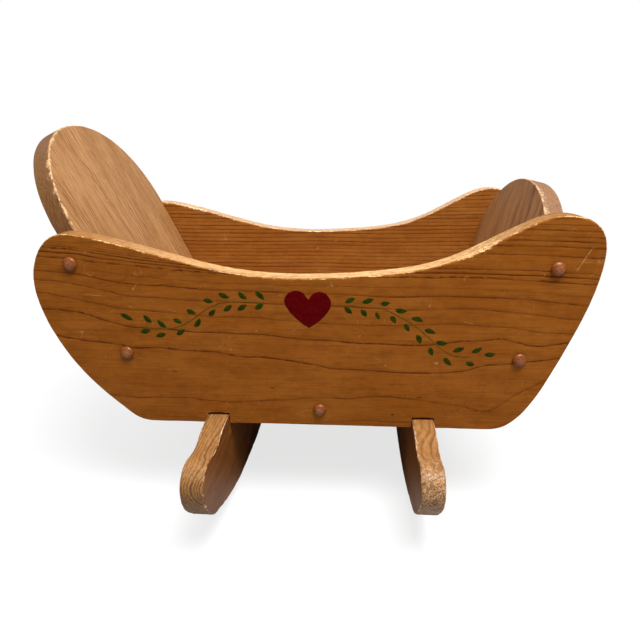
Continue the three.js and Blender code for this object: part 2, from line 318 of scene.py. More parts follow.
def subtract(ob, name, verts, faces):
    """Cuts a closed solid out of an object."""
    cutter = new_mesh(name, verts, faces)
    recalc_normals(cutter.data)
    modifier = ob.modifiers.new("cut", "BOOLEAN")
    modifier.operation = "DIFFERENCE"
    modifier.object = cutter
    try:
        modifier.solver = "MANIFOLD"
    except TypeError:                            # a Blender without the manifold solver
        modifier.solver = "EXACT"
    depsgraph = bpy.context.evaluated_depsgraph_get()
    mesh = bpy.data.meshes.new_from_object(ob.evaluated_get(depsgraph))
    ob.modifiers.clear()
    old = ob.data
    ob.data = mesh
    bpy.data.meshes.remove(old)
    bpy.data.objects.remove(cutter)


def cut(ob, cutters):
    """Subtracts cutters, given as (verts in mm, faces), in one go."""
    verts, faces, offset = [], [], 0
    for cutter_verts, cutter_faces in cutters:
        verts.append(cutter_verts)
        faces += [[i + offset for i in face] for face in cutter_faces]
        offset += len(cutter_verts)
    before = len(ob.data.vertices)
    subtract(ob, ob.name + "_cutter", np.vstack(verts) * MM, faces)
    if len(ob.data.vertices) < 0.5 * before:
        raise RuntimeError("boolean failed on " + ob.name)


def coords(mesh):
    flat = np.zeros(len(mesh.vertices) * 3)
    mesh.vertices.foreach_get("co", flat)
    return flat.reshape(-1, 3)


def set_attrs(mesh, **attributes):
    """Writes point attributes: one number for all, a number each or a vector each."""
    for name, values in attributes.items():
        values = np.asarray(values, np.float32)
        if values.ndim == 0:
            values = np.full(len(mesh.vertices), values)
        vector = values.ndim == 2
        layer = mesh.attributes.new(name, "FLOAT_VECTOR" if vector else "FLOAT", "POINT")
        layer.data.foreach_set("vector" if vector else "value", values.ravel())


def register(ob, node=None):
    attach(ob, "root")
    if node:
        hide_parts(node)


def lathe(profile, segments, swell=None):
    """Turned form about +Z from (radius, z) pairs; swell(angle, z, radius) adds to the radius."""
    verts, faces, rings = [], [], []
    for radius, z in profile:
        start = len(verts)
        if radius < 1e-6:
            rings.append([start])
            verts.append((0, 0, z))
            continue
        for k in range(segments):
            angle = 2 * math.pi * k / segments
            r = radius + (swell(angle, z, radius) if swell else 0)
            verts.append((r * math.cos(angle), r * math.sin(angle), z))
        rings.append(list(range(start, start + segments)))
    for low, high in zip(rings, rings[1:]):
        for k in range(segments):
            after = (k + 1) % segments
            if len(low) == 1 and len(high) > 1:
                faces.append([low[0], high[after], high[k]])
            elif len(high) == 1 and len(low) > 1:
                faces.append([low[k], low[after], high[0]])
            elif len(low) > 1:
                faces.append([low[k], low[after], high[after], high[k]])
    return np.array(verts, float), faces


def place_along(verts, origin, direction):
    """Moves a form made about +Z so that its axis starts at origin and runs along direction."""
    z = Vector(direction).normalized()
    x = Vector((0, 0, 1)).cross(z) if abs(z.z) < 0.9 else Vector((1, 0, 0))
    x.normalize()
    return verts @ np.array([x, z.cross(x), z]) + np.array(origin)


def turned_cutter(profile, segments, origin, direction):
    verts, faces = lathe(profile, segments)
    return place_along(verts, origin, direction), faces


def bore(origin, outward):
    """Plug hole with a screw hole on through the board."""
    end = -BOARD - 3
    profile = [(0, end), (PILOT_R, end), (PILOT_R, -BORE_DEPTH - 2.6), (BORE_R, -BORE_DEPTH),
               (BORE_R, 1.5), (0, 1.5)]
    return turned_cutter(profile, 40, origin, outward)


def pilot(origin, outward, depth=25.0):
    """Blind screw hole."""
    profile = [(0, -depth - 1.2), (PILOT_R, -depth), (PILOT_R, 4), (0, 4)]
    return turned_cutter(profile, 28, origin, outward)


def countersink(origin):
    """Countersunk screw hole down through the bottom board."""
    end = -BOARD - 3
    profile = [(0, end), (PILOT_R, end), (PILOT_R, -3.6), (4.45, -1.0), (4.6, 1.2), (0, 1.2)]
    return turned_cutter(profile, 40, origin, (0, 0, 1))


def edge_pilots(prefix):
    """Screw holes from both side boards, for the fixings whose place starts with prefix."""
    cutters = []
    for place, (x, z) in FIXINGS.items():
        if place.startswith(prefix):
            cutters += [pilot((x, FRONT_IN, z), (0, -1, 0)), pilot((x, BACK_IN, z), (0, 1, 0))]
    return cutters


def rocker_screws(x):
    """(x, y) of the two screws down into the rocker centred on x, front first."""
    return [(x + ROCKER_SKEW * side * ROCKER_SCREW_Y, side * ROCKER_SCREW_Y) for side in (-1, 1)]


# ---------------------------------------------------------------- boards
class Board:
    """A board cut to an outline. x and y span the face and depth runs in from the front face.

    axes are the world directions of x, y and depth; x cross y points out of the front face.
    radius(x, y) is the edge rounding and chips(outline) adds to it on the front and back edges.
    """
    WAVE = 0.06                                  # unevenness of the faces
    ROUGH = 0.10                                 # unevenness of the sawn edge
    FLATTEN = 0.92                               # depth of the edge rounding over its inset
    # Loops of face vertices along the edge: inset, points skipped, least spacing
    BANDS = [(1.3, 1, 1.0), (3.0, 1, 1.6), (5.4, 2, 2.2), (8.4, 2, 2.9)]

    def __init__(self, name, outline, thickness, origin, axes, seed, step, grid, radius,
                 chips=None):
        self.name, self.thickness, self.seed = name, thickness, seed
        self.origin, self.axes = np.array(origin, float), np.array(axes, float)
        self.outline, corners = resample(outline, step)
        self._build(self._edge_rows(corners, radius, chips), grid)

    def _edge_rows(self, corners, radius, chips):
        """(inset, depth) of each loop of vertices from the front face to the back face."""
        loop, size, seed = self.outline, len(self.outline), self.seed
        lengths = np.linalg.norm(np.roll(loop, -1, axis=0) - loop, axis=1)
        along = np.concatenate([[0], np.cumsum(lengths)])
        length, along = along[-1], along[:-1]
        if corners.any():
            gaps = [np.abs(along - corner) for corner in along[corners]]
            corner_gap = np.min([np.minimum(gap, length - gap) for gap in gaps], axis=0)
        else:
            corner_gap = np.full(size, 1e3)
        open_edge = smooth01(corner_gap / 9.0)   # 0 at a sharp corner
        base = np.array([radius(x, y) for x, y in loop])
        radii = []
        for side, spans in enumerate(((22, 7, 2.6), (19, 6, 2.4))):
            ripple = sum(loop_noise(size, length / span, seed + 5 * side + i) * amount
                         for i, (span, amount) in enumerate(zip(spans, (0.35, 0.28, 0.16))))
            rounding = base * (1 + ripple * 0.55)
            if chips:
                ragged = 1 + 0.5 * loop_noise(size, length / 2.5, seed + 9 + side)
                rounding = rounding + chips(loop)[side] * ragged
            radii.append(0.4 * (1 - open_edge) + np.clip(rounding, 0.5, 7.0) * open_edge)
        front, back = radii
        arc = np.linspace(0, math.pi / 2, 7)
        rows = [(front * (1 - math.sin(a)), front * (1 - math.cos(a)) * self.FLATTEN)
                for a in arc]
        spans = 7
        straight = self.thickness - front * self.FLATTEN - back * self.FLATTEN
        for j in range(1, spans):
            bump = self.ROUGH * open_edge * (grid_noise(along / 3.1, j * 0.9, seed + 20) * 0.6
                                             + grid_noise(along / 14.0, j * 0.35, seed + 21))
            rows.append((bump, front * self.FLATTEN + straight * (j / spans)))
        rows += [(back * (1 - math.sin(a)),
                  self.thickness - back * (1 - math.cos(a)) * self.FLATTEN) for a in arc[::-1]]
        return rows

    def _build(self, rows, grid):
        loop, size = self.outline, len(self.outline)
        before = unit(loop - np.roll(loop, 1, axis=0))
        after = unit(np.roll(loop, -1, axis=0) - loop)
        mitre = unit(turn_left(before) + turn_left(after))
        inward = mitre / np.clip((mitre * turn_left(before)).sum(1), 0.3, 1)[:, None]
        rings = [loop + inward * inset[:, None] for inset, _ in rows]
        edge = np.vstack([np.column_stack([ring, depth])
                          for ring, (_, depth) in zip(rings, rows)])
        self.faces = []
        i = np.arange(size)
        j = (i + 1) % size
        for row in range(len(rows) - 1):
            near, far = row * size, (row + 1) * size
            self.faces.extend(np.stack([near + i, far + i, far + j, near + j], 1).tolist())
        extra = []
        for row, depth, order in ((0, 0.0, 1), (len(rows) - 1, self.thickness, -1)):
            ring = rings[row]
            inner = self._face_points(ring, grid)
            added, triangles = fill(ring, inner, row * size, len(edge) + len(extra))
            extra += [(x, y, depth) for x, y in added]
            self.faces += [triangle[::order] for triangle in triangles]
        local = np.vstack([edge, np.array(extra)])
        on_front = local[:, 2] < 1e-6
        on_back = local[:, 2] > self.thickness - 1e-6
        local[on_front, 2] += self.bow(local[on_front, 0], local[on_front, 1], 0)
        local[on_back, 2] -= self.bow(local[on_back, 0], local[on_back, 1], 1)
        self.local = local

    def bow(self, x, y, side):
        """How far a face (0 front, 1 back) dips below flat."""
        seed = self.seed + 50 + side
        return self.WAVE * (1 + grid_noise(x / 46, y / 38, seed) * 0.8
                            + grid_noise(x / 17, y / 15, seed + 3) * 0.2)

    def _face_points(self, ring, grid):
        """Points inside a face: bands along its edge, then a jittered triangular grid."""
        inward = turn_left(tangents(ring))
        tree = point_tree(ring)
        candidates = []                          # x, y, least distance from edge, least spacing
        for inset, skip, spacing in self.BANDS:
            candidates += [(x, y, inset * 0.9, spacing)
                           for x, y in (ring + inward * inset)[::skip]]
        low, high = ring.min(0), ring.max(0)
        columns = np.arange(low[0], high[0], grid)
        lines = np.arange(low[1], high[1], grid * 0.866)
        points = np.array([(x + (grid / 2 if row % 2 else 0), y)
                           for row, y in enumerate(lines) for x in columns])
        rng = np.random.default_rng(self.seed + 77)
        points += rng.uniform(-0.12, 0.12, points.shape) * grid
        candidates += [(x, y, 9.4, grid * 0.72) for x, y in points]
        candidates = np.array(candidates)
        candidates = candidates[inside(candidates[:, :2], ring)]
        kept, cells = [], {}                     # cells are 4 mm, wider than any spacing
        for x, y, margin, spacing in candidates:
            if tree.find((x, y, 0))[2] < margin:
                continue
            column, line = int(x // 4), int(y // 4)
            near = [p for i in (-1, 0, 1) for j in (-1, 0, 1)
                    for p in cells.get((column + i, line + j), ())]
            if all((px - x) ** 2 + (py - y) ** 2 >= spacing * spacing for px, py in near):
                kept.append((x, y))
                cells.setdefault((column, line), []).append((x, y))
        return np.array(kept)

    def world(self):
        x, y, depth = self.local[:, :1], self.local[:, 1:2], self.local[:, 2:3]
        return (self.origin + x * self.axes[0] + y * self.axes[1] + depth * self.axes[2]) * MM

    def to_local(self, points):
        offset = points / MM - self.origin
        return [offset @ axis for axis in self.axes]


def nothing(at):
    return 0.0


def finish_board(board, wood, node, rings, worn, cutters, grime=nothing, lite=nothing,
                 grain_along_y=False):
    """Makes a board's object, cuts its holes and writes the vertex data its wood reads.

    rings(x, y, depth) gives ring number, spacing and strength. worn, grime and lite take a
    namespace of x, y, depth, rim (1 on the sawn edge) and rise (y of the outward normal).
    """
    ob = new_mesh(board.name, board.world(), board.faces)
    cut(ob, cutters)
    mesh = ob.data
    smooth_shade(mesh)
    x, y, depth = board.to_local(coords(mesh))
    tree = point_tree(board.outline)
    nearest = [tree.find((px, py, 0)) for px, py in zip(x, y)]
    index = np.array([found[1] for found in nearest])
    distance = np.array([found[2] for found in nearest])
    below = np.minimum(np.abs(depth), np.abs(board.thickness - depth))
    rim = smooth01((below - 0.2) / 1.3) * (distance < 3.2)
    outward = -turn_left(tangents(board.outline))[index]
    across_grain = np.abs(outward[:, 1 if grain_along_y else 0])
    along, across = (y, x) if grain_along_y else (x, y)
    ring, spacing, strength = rings(x, y, depth)
    at = SimpleNamespace(x=x, y=y, depth=depth, rim=rim, rise=outward[:, 1])
    set_attrs(mesh, ring=ring, rsp=spacing, rint=strength,
              lc=np.stack([along, across, depth], 1) / 10.0,
              edge_d=np.where(below < 0.45, distance, np.minimum(below, 30)),
              rim=rim, worn=worn(at), grime=grime(at),
              endg=smooth01((across_grain - 0.55) / 0.4) * rim, lite=lite(at))
    mesh.materials.clear()
    mesh.materials.append(wood)
    mesh.set_sharp_from_angle(angle=math.radians(42))
    register(ob, node)


# ---------------------------------------------------------------- growth rings
# Dark ring lines on the painted face, top to bottom: strength, then (x, z) along the line
RINGS = [
    (0.45, [(-265, 305), (265, 318)]),
    (0.5, [(-265, 299), (265, 311)]),
    (0.45, [(-265, 294), (265, 305)]),
    (0.55, [(-265, 290), (265, 300)]),
    (0.5, [(-265, 287), (-200, 284), (-120, 270), (0, 270), (150, 296), (200, 295), (265, 293)]),
    (0.6, [(-265, 285), (-200, 281.5), (-120, 268), (0, 266), (150, 291), (200, 290.5),
           (265, 288)]),
    (0.5, [(-265, 283), (-200, 279), (-120, 266), (0, 263), (150, 286), (200, 285), (265, 283)]),
    (0.75, [(-265, 281), (-215, 277), (-180, 273.5), (-120, 264), (0, 260), (150, 281),
            (200, 281.5), (265, 279)]),
    (0.7, [(-265, 279), (-215, 274.7), (-180, 271), (-120, 262), (0, 257), (150, 277),
           (200, 276.6), (265, 274.5)]),
    (0.65, [(-265, 277), (-215, 273), (-180, 269.2), (-120, 260.6), (0, 255.5), (100, 262),
            (150, 269.8), (200, 269), (265, 266)]),
    (0.9, [(-265, 275), (-215, 271.3), (-200, 270.4), (-180, 267), (-160, 263.5), (-140, 261),
           (-120, 258.8), (-100, 256.8), (-80, 255.3), (-40, 254), (0, 253.8), (40, 254.4),
           (80, 255.5), (110, 255.8), (160, 255.3), (200, 254.5), (240, 252.5), (265, 251)]),
    (0.95, [(-265, 270.5), (-215, 266.8), (-200, 266), (-180, 262.2), (-160, 260),
            (-140, 257.8), (-120, 256), (-100, 254), (-80, 252.4), (-40, 250.5), (0, 250),
            (40, 250.4), (80, 251.4), (110, 251.8), (160, 251.5), (200, 250.5), (240, 249),
            (265, 248)]),
    (0.8, [(-265, 266), (-215, 262.5), (-200, 261.4), (-180, 258.8), (-160, 257), (-140, 255),
           (-120, 253.6), (-100, 251.8), (-80, 250), (-40, 247.5), (0, 246.8), (40, 247),
           (80, 247.7), (140, 248.2), (180, 247.8), (200, 246.4), (240, 244.3), (265, 243)]),
    (0.28, [(-265, 258), (-220, 255), (-200, 253.5), (-160, 247), (-120, 243), (-80, 240.5),
            (-40, 239.5), (0, 238.6), (80, 238), (140, 238), (200, 236), (240, 232.5),
            (265, 231)]),
    (0.72, [(-265, 252), (-220, 249), (-205, 248), (-190, 245.3), (-180, 242.7), (-165, 240),
            (-140, 237.3), (-120, 237.6), (-100, 235.3), (-80, 234.3), (-40, 233.3), (0, 231.8),
            (35, 231.3), (80, 229.3), (120, 230.4), (180, 230), (200, 229), (220, 227.3),
            (265, 223)]),
    (0.6, [(-265, 244), (-220, 240.3), (-205, 238), (-190, 235), (-180, 232.7), (-170, 230.3),
           (-160, 227.3), (-145, 226.3), (-120, 225.3), (-100, 223.6), (-60, 222.6),
           (-30, 221.5), (0, 220.3), (35, 220), (60, 219), (100, 217.3), (120, 218),
           (145, 219.3), (165, 219.2), (180, 217.6), (200, 216.2), (215, 214.4), (240, 211),
           (265, 209)]),
    (0.55, [(-265, 231), (-230, 228.4), (-210, 224), (-200, 221.7), (-190, 219.3), (-180, 218),
            (-170, 215.2), (-160, 214.3), (-140, 213), (-120, 211.3), (-100, 210.2),
            (-80, 207.3), (-60, 207.4), (-35, 208), (-20, 205.7), (0, 204.3), (40, 202.3),
            (60, 201.3), (80, 201.8), (100, 202.2), (120, 203.3), (140, 204.7), (160, 203.3),
            (195, 201.6), (205, 199.8), (220, 197.3), (265, 196)]),
    (0.95, [(-265, 214), (-225, 212.7), (-210, 211.6), (-200, 209.3), (-193, 206.7),
            (-180, 202), (-170, 199.3), (-160, 196), (-140, 195.3), (-120, 194.7), (-100, 192),
            (-70, 192), (-40, 191), (-20, 189.7), (-10, 187.7), (10, 186.7), (25, 186.7),
            (40, 185.4), (60, 183.7), (80, 183.6), (100, 182.5), (120, 183.2), (140, 186.2),
            (150, 187.6), (170, 188.7), (185, 190.8), (195, 189.4), (205, 186), (212, 184.3),
            (225, 183.9), (240, 187), (265, 190)]),
    (1.0, [(-265, 190), (-230, 186), (-210, 182.5), (-190, 180), (-175, 179.3), (-160, 175),
           (-150, 175), (-135, 176), (-120, 174.7), (-110, 173.3), (-80, 172.3), (-70, 171.7),
           (-63, 168.8), (-50, 167.3), (-35, 168), (-20, 166.3), (0, 163.3), (20, 160),
           (30, 157), (50, 156.6), (80, 155.2), (100, 154), (120, 154.3), (140, 155.4),
           (160, 158.2), (170, 163.4), (180, 164.8), (200, 166.5), (215, 168.6), (240, 172),
           (265, 176)]),
    (0.62, [(-265, 130), (-200, 124), (-160, 120), (-140, 121.7), (-110, 121), (-90, 119.3),
            (-65, 117.4), (-50, 119), (-30, 121), (-10, 122), (10, 125), (30, 125.7),
            (50, 124.6), (70, 128.6), (85, 128.3), (110, 126), (135, 123), (160, 119),
            (178, 113), (190, 118), (205, 133), (233, 150), (250, 165), (265, 172)]),
    (0.45, [(-265, 96), (-120, 92), (0, 95), (60, 101), (120, 100), (180, 92), (210, 106),
            (265, 150)]),
    (0.5, [(-265, 66), (0, 62), (265, 66)]),
]
LINE_X = np.arange(-270, 271, 2.0)


def smoothed_lines():
    """Height of each ring line at LINE_X, smoothed and kept at least 1.2 mm apart."""
    heights = np.array([np.interp(LINE_X, *zip(*points)) for _, points in RINGS])
    kernel = np.exp(-0.5 * (np.arange(-4, 5) / 1.9) ** 2)
    kernel = kernel / kernel.sum()
    heights = np.array([np.convolve(np.pad(row, 4, mode="edge"), kernel, "valid")
                        for row in heights])
    for i in range(1, len(heights)):
        heights[i] = np.minimum(heights[i], heights[i - 1] - 1.2)
    return heights


LINE_Z = smoothed_lines()
LINE_STRENGTH = np.array([strength for strength, _ in RINGS])


def front_rings(x, z, depth):
    """Rings between the traced lines, numbered downwards and tilting through the board."""
    z = z + 1.9 * depth + 0.9 * np.sin(x / 31.0) * depth / 19.0
    heights = np.array([np.interp(x, LINE_X, row) for row in LINE_Z])
    lower = np.clip((heights > z).sum(0), 1, len(LINE_Z) - 1)
    columns = np.arange(len(x))
    above, below = heights[lower - 1, columns], heights[lower, columns]
    part = np.clip((above - z) / np.maximum(above - below, 1e-3), -1, 2)
    line = np.where(part < 0.5, lower - 1, lower)
    fade = np.interp(x, [-260, -120, 60, 150], [0.30, 0.30, 0.8, 1.0])
    strength = LINE_STRENGTH[line] * np.where(line < 9, fade, 1.0)
    return lower - 1 + part, above - below, strength


def back_rings(x, z, depth):
    sag = 3.0 * (1 - (x / 260.0) ** 2) + 1.5 * grid_noise(x / 90, z / 60, 5)
    level = z + sag + 0.5 * (BOARD - depth)
    spacing = 5.0
    ring = -level / spacing + 0.5 * grid_noise(3.3, level / 13, 8)
    return ring, spacing, 0.30 + 0.7 * hash01(np.round(ring), 4)


def deck_rings(x, y, depth):
    """Rings round a pith line that runs nearly along x, below the board."""
    spacing, wobble, seed = 5.5, 2.4, 9
    across = y - 20.0 - 0.015 * x + wobble * grid_noise(x / 60, depth / 30 + y / 70, seed)
    through = depth - 46.0 + wobble * grid_noise(x / 75 + 9, y / 55, seed + 1)
    turns = np.hypot(across, through) / spacing
    ring = turns + 0.35 * np.sin(turns * 0.9 + seed)
    return ring, spacing, 0.45 + 0.55 * hash01(np.round(ring), seed)


def head_rocker_rings(x, y, depth):
    """Rings centred just beyond the inner side, level with the top of the toe."""
    radius = np.hypot(depth + 8.0 + 1.2 * grid_noise(x / 26, y / 22, 5),
                      y - 90.0 - 0.02 * x + 2.0 * grid_noise(x / 60, y / 40, 6))
    spacing = 2.7
    ring = radius / spacing + 0.25 * np.sin(radius / spacing * 1.3)
    fade = np.interp(y, [60, 80, 100], [1.0, 0.8, 0.5])
    return ring, spacing, (0.35 + 0.65 * hash01(np.round(ring), 71)) * fade


def foot_rocker_rings(x, y, depth):
    """Rings centred beyond the inner side, above the rocker."""
    radius = np.hypot(depth - 34.0 + 3.0 * grid_noise(x / 22, y / 17, 7),
                      y - 150.0 + 3.5 * grid_noise(x / 19, y / 16, 8))
    spacing = 3.1
    ring = radius / spacing
    fade = np.interp(y, [70, 92], [0.35, 1.0])
    return ring, spacing, (0.10 + 0.35 * hash01(np.round(ring), 81)) * fade


# ---------------------------------------------------------------- shader tools
class Value:
    """An output of a shader node. Arithmetic on it adds math or vector math nodes."""
    def __init__(self, graph, socket):
        self.graph, self.socket = graph, socket

    def _math(self, operation, first, second):
        if self.socket.type == "VECTOR":
            return self.graph.node("ShaderNodeVectorMath", {0: first, 1: second},
                                   operation=operation)
        return self.graph.math(operation, first, second)

    def __add__(self, other):
        return self._math("ADD", self, other)

    def __radd__(self, other):
        return self._math("ADD", other, self)

    def __sub__(self, other):
        return self._math("SUBTRACT", self, other)

    def __rsub__(self, other):
        return self._math("SUBTRACT", other, self)

    def __mul__(self, other):
        return self._math("MULTIPLY", self, other)

    def __truediv__(self, other):
        return self._math("DIVIDE", self, other)


class Graph:
    """Adds nodes to a node tree. Inputs are Values, numbers, vectors or linear RGB colours."""
    def __init__(self, tree):
        self.tree = tree

    def feed(self, node, inputs):
        for key, value in inputs.items():
            socket = node.inputs[key]
            if isinstance(value, Value):
                self.tree.links.new(value.socket, socket)
            elif socket.type == "RGBA":
                socket.default_value = (*value, 1)
            else:
                socket.default_value = value

    def node(self, kind, inputs, output=0, **settings):
        node = self.tree.nodes.new(kind)
        for key, value in settings.items():
            setattr(node, key, value)
        self.feed(node, inputs)
        return Value(self, node.outputs[output])

    def surface(self, inputs):
        self.feed(self.tree.nodes["Principled BSDF"], inputs)

    def math(self, operation, first, second=0.0):
        return self.node("ShaderNodeMath", {0: first, 1: second, 2: 0.0}, operation=operation)

    def combine(self, x, y, z):
        return self.node("ShaderNodeCombineXYZ", {0: x, 1: y, 2: z})

    def separate(self, vector):
        first = self.node("ShaderNodeSeparateXYZ", {0: vector})
        return [Value(self, socket) for socket in first.socket.node.outputs]

    def attr(self, name):
        return self.node("ShaderNodeAttribute", {}, "Fac", attribute_name=name)

    def grain_coords(self):
        """Vertex data lc, in cm: along the grain, across it and through the board."""
        return self.node("ShaderNodeAttribute", {}, "Vector", attribute_name="lc")

    def noise(self, vector, detail, roughness=0.5, scale=1.0):
        return self.node("ShaderNodeTexNoise", {"Vector": vector, "Scale": scale,
                                                "Detail": detail, "Roughness": roughness}, "Fac")

    def voronoi(self, vector, feature="F1"):
        return self.node("ShaderNodeTexVoronoi", {"Vector": vector, "Scale": 1.0}, "Distance",
                         feature=feature)

    def step(self, value, start, end, low=0.0, high=1.0):
        """Smooth step from low at start to high at end."""
        return self.node("ShaderNodeMapRange",
                         {"Value": value, "From Min": start, "From Max": end,
                          "To Min": low, "To Max": high}, "Result",
                         interpolation_type="SMOOTHSTEP")

    def mix(self, factor, under, over):
        return self.node("ShaderNodeMix", {0: factor, 6: under, 7: over}, 2, data_type="RGBA")

    def layers(self, colour, rows, mask=None):
        """Lays colours over each other. Rows: colour, value, start and end of the smooth step
        of the value that lets the colour in, and the most of it."""
        for over, value, start, end, amount in rows:
            factor = self.step(value, start, end, 0.0, amount)
            colour = self.mix(mask * factor if mask else factor, colour, over)
        return colour

    def bump(self, height, strength, distance, normal=None):
        inputs = {"Strength": strength, "Distance": distance, "Height": height}
        if normal is not None:
            inputs["Normal"] = normal
        return self.node("ShaderNodeBump", inputs)

    def line(self, x, y, start, end, width):
        """1 on a thin line from start to end in the plane of x and y, else 0."""
        run = np.array(end, float) - np.array(start, float)
        length = float(np.hypot(*run))
        cos, sin = (run / length).tolist()
        x = x - start[0]
        y = y - start[1]
        along = x * cos + y * sin
        across = self.math("ABSOLUTE", x * -sin + y * cos)
        ends = self.step(along, 0.0, length * 0.15) * self.step(along, length, length * 0.8)
        return self.step(across, width, width * 0.3) * ends


def material(name):
    mat = bpy.data.materials.new(name)
    mat.use_nodes = True
    return mat, Graph(mat.node_tree)


def srgb(*channels):
    """Linear colour from 8-bit sRGB."""
    scaled = [c / 255.0 for c in channels]
    return np.array([c / 12.92 if c <= 0.04045 else ((c + 0.055) / 1.055) ** 2.4
                     for c in scaled])


# ---------------------------------------------------------------- wood
def make_wood(name, early, late, pale, bare_wood, sawn, *, seed, warp, line, up, down,
              rim_lines=0.45, rim_fine=1.0, streaks=0.2, fibre=1.0, blotch=1.0, chatter=0.5,
              mottle=0.0, flecks=0.6, scuffs=0.5, hair=0.5, hair_from=0.56, scratches=(),
              marks=(), dirt=(0.10, 0.075, 0.055), gloss=0.42, coat=0.12, specular=0.28):
    """Clear-coated softwood.

    Colours: early and late wood, pale early wood, bare_wood where the finish has gone, sawn
    edges and dirt. Rings: warp bends them, line is their darkness, up and down are how far (mm)
    a line fades above and below it, rim_lines is how much of it the sawn edge hides. The rest
    are amounts of detail, hair_from is the noise level above which hairlines show, gloss is the
    roughness.
    Vertex data: lc, ring number, spacing rsp (mm) and strength rint, distance edge_d from the
    edge (mm), and masks worn, rim, grime (dirt), endg (end grain) and lite (painted highlight with
    bare wood on upper edges; on the rocker toes, specks of wear and painted glint).
    """
    mat, g = material(name)
    lc = g.grain_coords() + (seed * 7.3, seed * 3.1, seed * 5.7)
    along, across, _ = g.separate(g.grain_coords())
    spacing, edge_distance, worn = g.attr("rsp"), g.attr("edge_d"), g.attr("worn")
    rim, grime, lite = g.attr("rim"), g.attr("grime"), g.attr("lite")

    def noise(along, across, detail, roughness=0.5):
        """Noise with this many features per cm along and across the grain."""
        return g.noise(lc * (along, across, across), detail, roughness)

    # Growth rings: pale early wood darkening into a line that ends sharply
    drift = noise(0.55, 1.6, 3.0, 0.55) - 0.5
    ripple = noise(2.2, 9.0, 2.0, 0.6) - 0.5
    shift = ((drift * (2.2 * warp) + ripple * (0.9 * warp))
             / g.math("MAXIMUM", spacing, 2.0))
    phase = g.attr("ring") + shift
    offset = (phase - g.math("ROUND", phase)) * spacing
    body = g.step(offset, -up, -0.1) * g.step(offset, down, 0.05)
    broken = g.step(noise(0.35, 2.5, 3.0, 0.6), 0.25, 0.72, 0.5, 1.15)
    strength = g.attr("rint") * line * broken
    dark = body * strength * (1.0 - rim * rim_lines)
    halo = g.step(offset, -up * 3.0, -0.2) * g.step(offset, 0.4, 0.0) * (strength * 0.20)

    # Fibres and colour drift
    fine = noise(1.1, 38.0, 3.0, 0.65)
    coarse = noise(0.45, 9.0, 3.0, 0.6)
    broad = noise(0.16, 0.5, 2.0, 0.5)
    clouds = noise(0.9, 1.3, 4.0, 0.62)
    bands = noise(0.13, 5.2, 3.0, 0.7)
    ridges = noise(7.0, 0.45, 2.0, 0.6)
    colour = g.layers(early, [
        (pale, broad, 0.34, 0.68, 0.9 * blotch),
        (late, clouds, 0.40, 0.72, 0.22 * blotch),
        (late, coarse, 0.40, 0.75, 0.26 * fibre),
        (late, fine, 0.48, 0.85, 0.36 * fibre),
        (pale, fine, 0.5, 0.2, 0.26 * fibre),
        (late, bands, 0.47, 0.66, streaks),
        (pale, bands, 0.50, 0.34, 0.6 * streaks),
        (pale, ridges, 0.55, 0.8, 0.16 * chatter)])

    # Sawn edges, streaked and blotched
    saw_streak = g.noise(lc * (1.6, 16.0, 22.0), 3.0, 0.65)
    saw_grain = noise(6.0, 11.0, 3.0, 0.65)
    edge = g.layers(sawn, [
        (0.5 * (sawn + early), saw_streak, 0.38, 0.72, 0.45 * rim_fine),
        (0.5 * sawn, saw_grain, 0.5, 0.78, 0.35 * rim_fine),
        (bare_wood, saw_streak, 0.42, 0.2, 0.5),
        (0.5 * sawn, bands, 0.45, 0.68, 0.5 * rim_fine)])
    # Painted highlight with real wear: the upper edges paled towards bare wood in patches.
    if not mottle:
        patches = g.step(noise(0.9, 3.0, 3.0, 0.6), 0.25, 0.65, 0.45, 1.0)
        edge = g.mix(lite * patches, edge, bare_wood)
    edge = g.layers(edge, [(0.5 * (0.6 * sawn + 0.8 * early), noise(1.5, 5.0, 4.0, 0.72),
                            0.44, 0.60, 0.50 * rim_fine)])
    colour = g.mix(rim * 0.8, colour, edge)
    colour = g.mix(halo, colour, late)
    colour = g.mix(g.math("MINIMUM", dark, 0.92), colour, late)

    # On the rocker toes the pale specks are wear with a painted glint.
    if mottle:                                   # the finish broken up into specks
        specks = noise(7.0, 8.0, 4.0, 0.75)
        spots = noise(2.2, 2.4, 3.0, 0.7)
        colour = g.layers(colour, [(bare_wood, specks, 0.46, 0.62, 0.60),
                                   (0.45 * early, specks, 0.50, 0.36, 0.40),
                                   (0.40 * early, spots, 0.50, 0.62, 0.60)], lite * mottle)

    # Short dark flecks along the grain
    fleck = (g.step(g.voronoi(lc * (0.55, 2.6, 2.6)), 0.085, 0.045)
             * g.step(noise(0.3, 0.9, 1.0), 0.55, 0.66))
    colour = g.mix(fleck * (0.5 * flecks), colour, 0.45 * late)

    # Small pale dents, and hairline scratches running every way
    warped = lc + g.combine(ripple, drift, ripple) * (0.5, 0.5, 0.5)
    dents = (g.step(g.voronoi(warped * (1.5, 2.2, 2.2)), 0.062, 0.03)
             * g.step(noise(0.42, 0.5, 2.0), 0.50, 0.60))
    hairs = None
    # Noise offset, features per cm along and across, half width of the line in noise level
    for start, per_along, per_across, width in ((3.1, 0.42, 0.62, 0.0036),
                                                (11.7, 0.75, 0.38, 0.0034),
                                                (23.9, 0.30, 0.30, 0.0024)):
        field = g.noise(lc * (per_along, per_across, 0.2) + (start, start * 1.7, start * 0.6), 0.0)
        contour = g.step(g.math("ABSOLUTE", field - 0.5), width, width * 0.25)
        area = g.noise(lc * (1.1, 1.1, 0.4) + (start * 2, 5.0, start), 1.0)
        contour = contour * g.step(area, hair_from, hair_from + 0.08)
        hairs = g.math("MAXIMUM", hairs, contour) if hairs else contour
    scratched = hairs * hair
    if scratches:
        gaps = g.step(noise(9, 9, 1.0), 0.30, 0.52)
        for start, end, width, amount in scratches:
            scratch = g.line(along, across, start, end, width) * (gaps * amount)
            scratched = g.math("MAXIMUM", scratched, scratch)
    for start, end, width, mark_colour, amount in marks:
        colour = g.mix(g.line(along, across, start, end, width) * amount, colour, mark_colour)

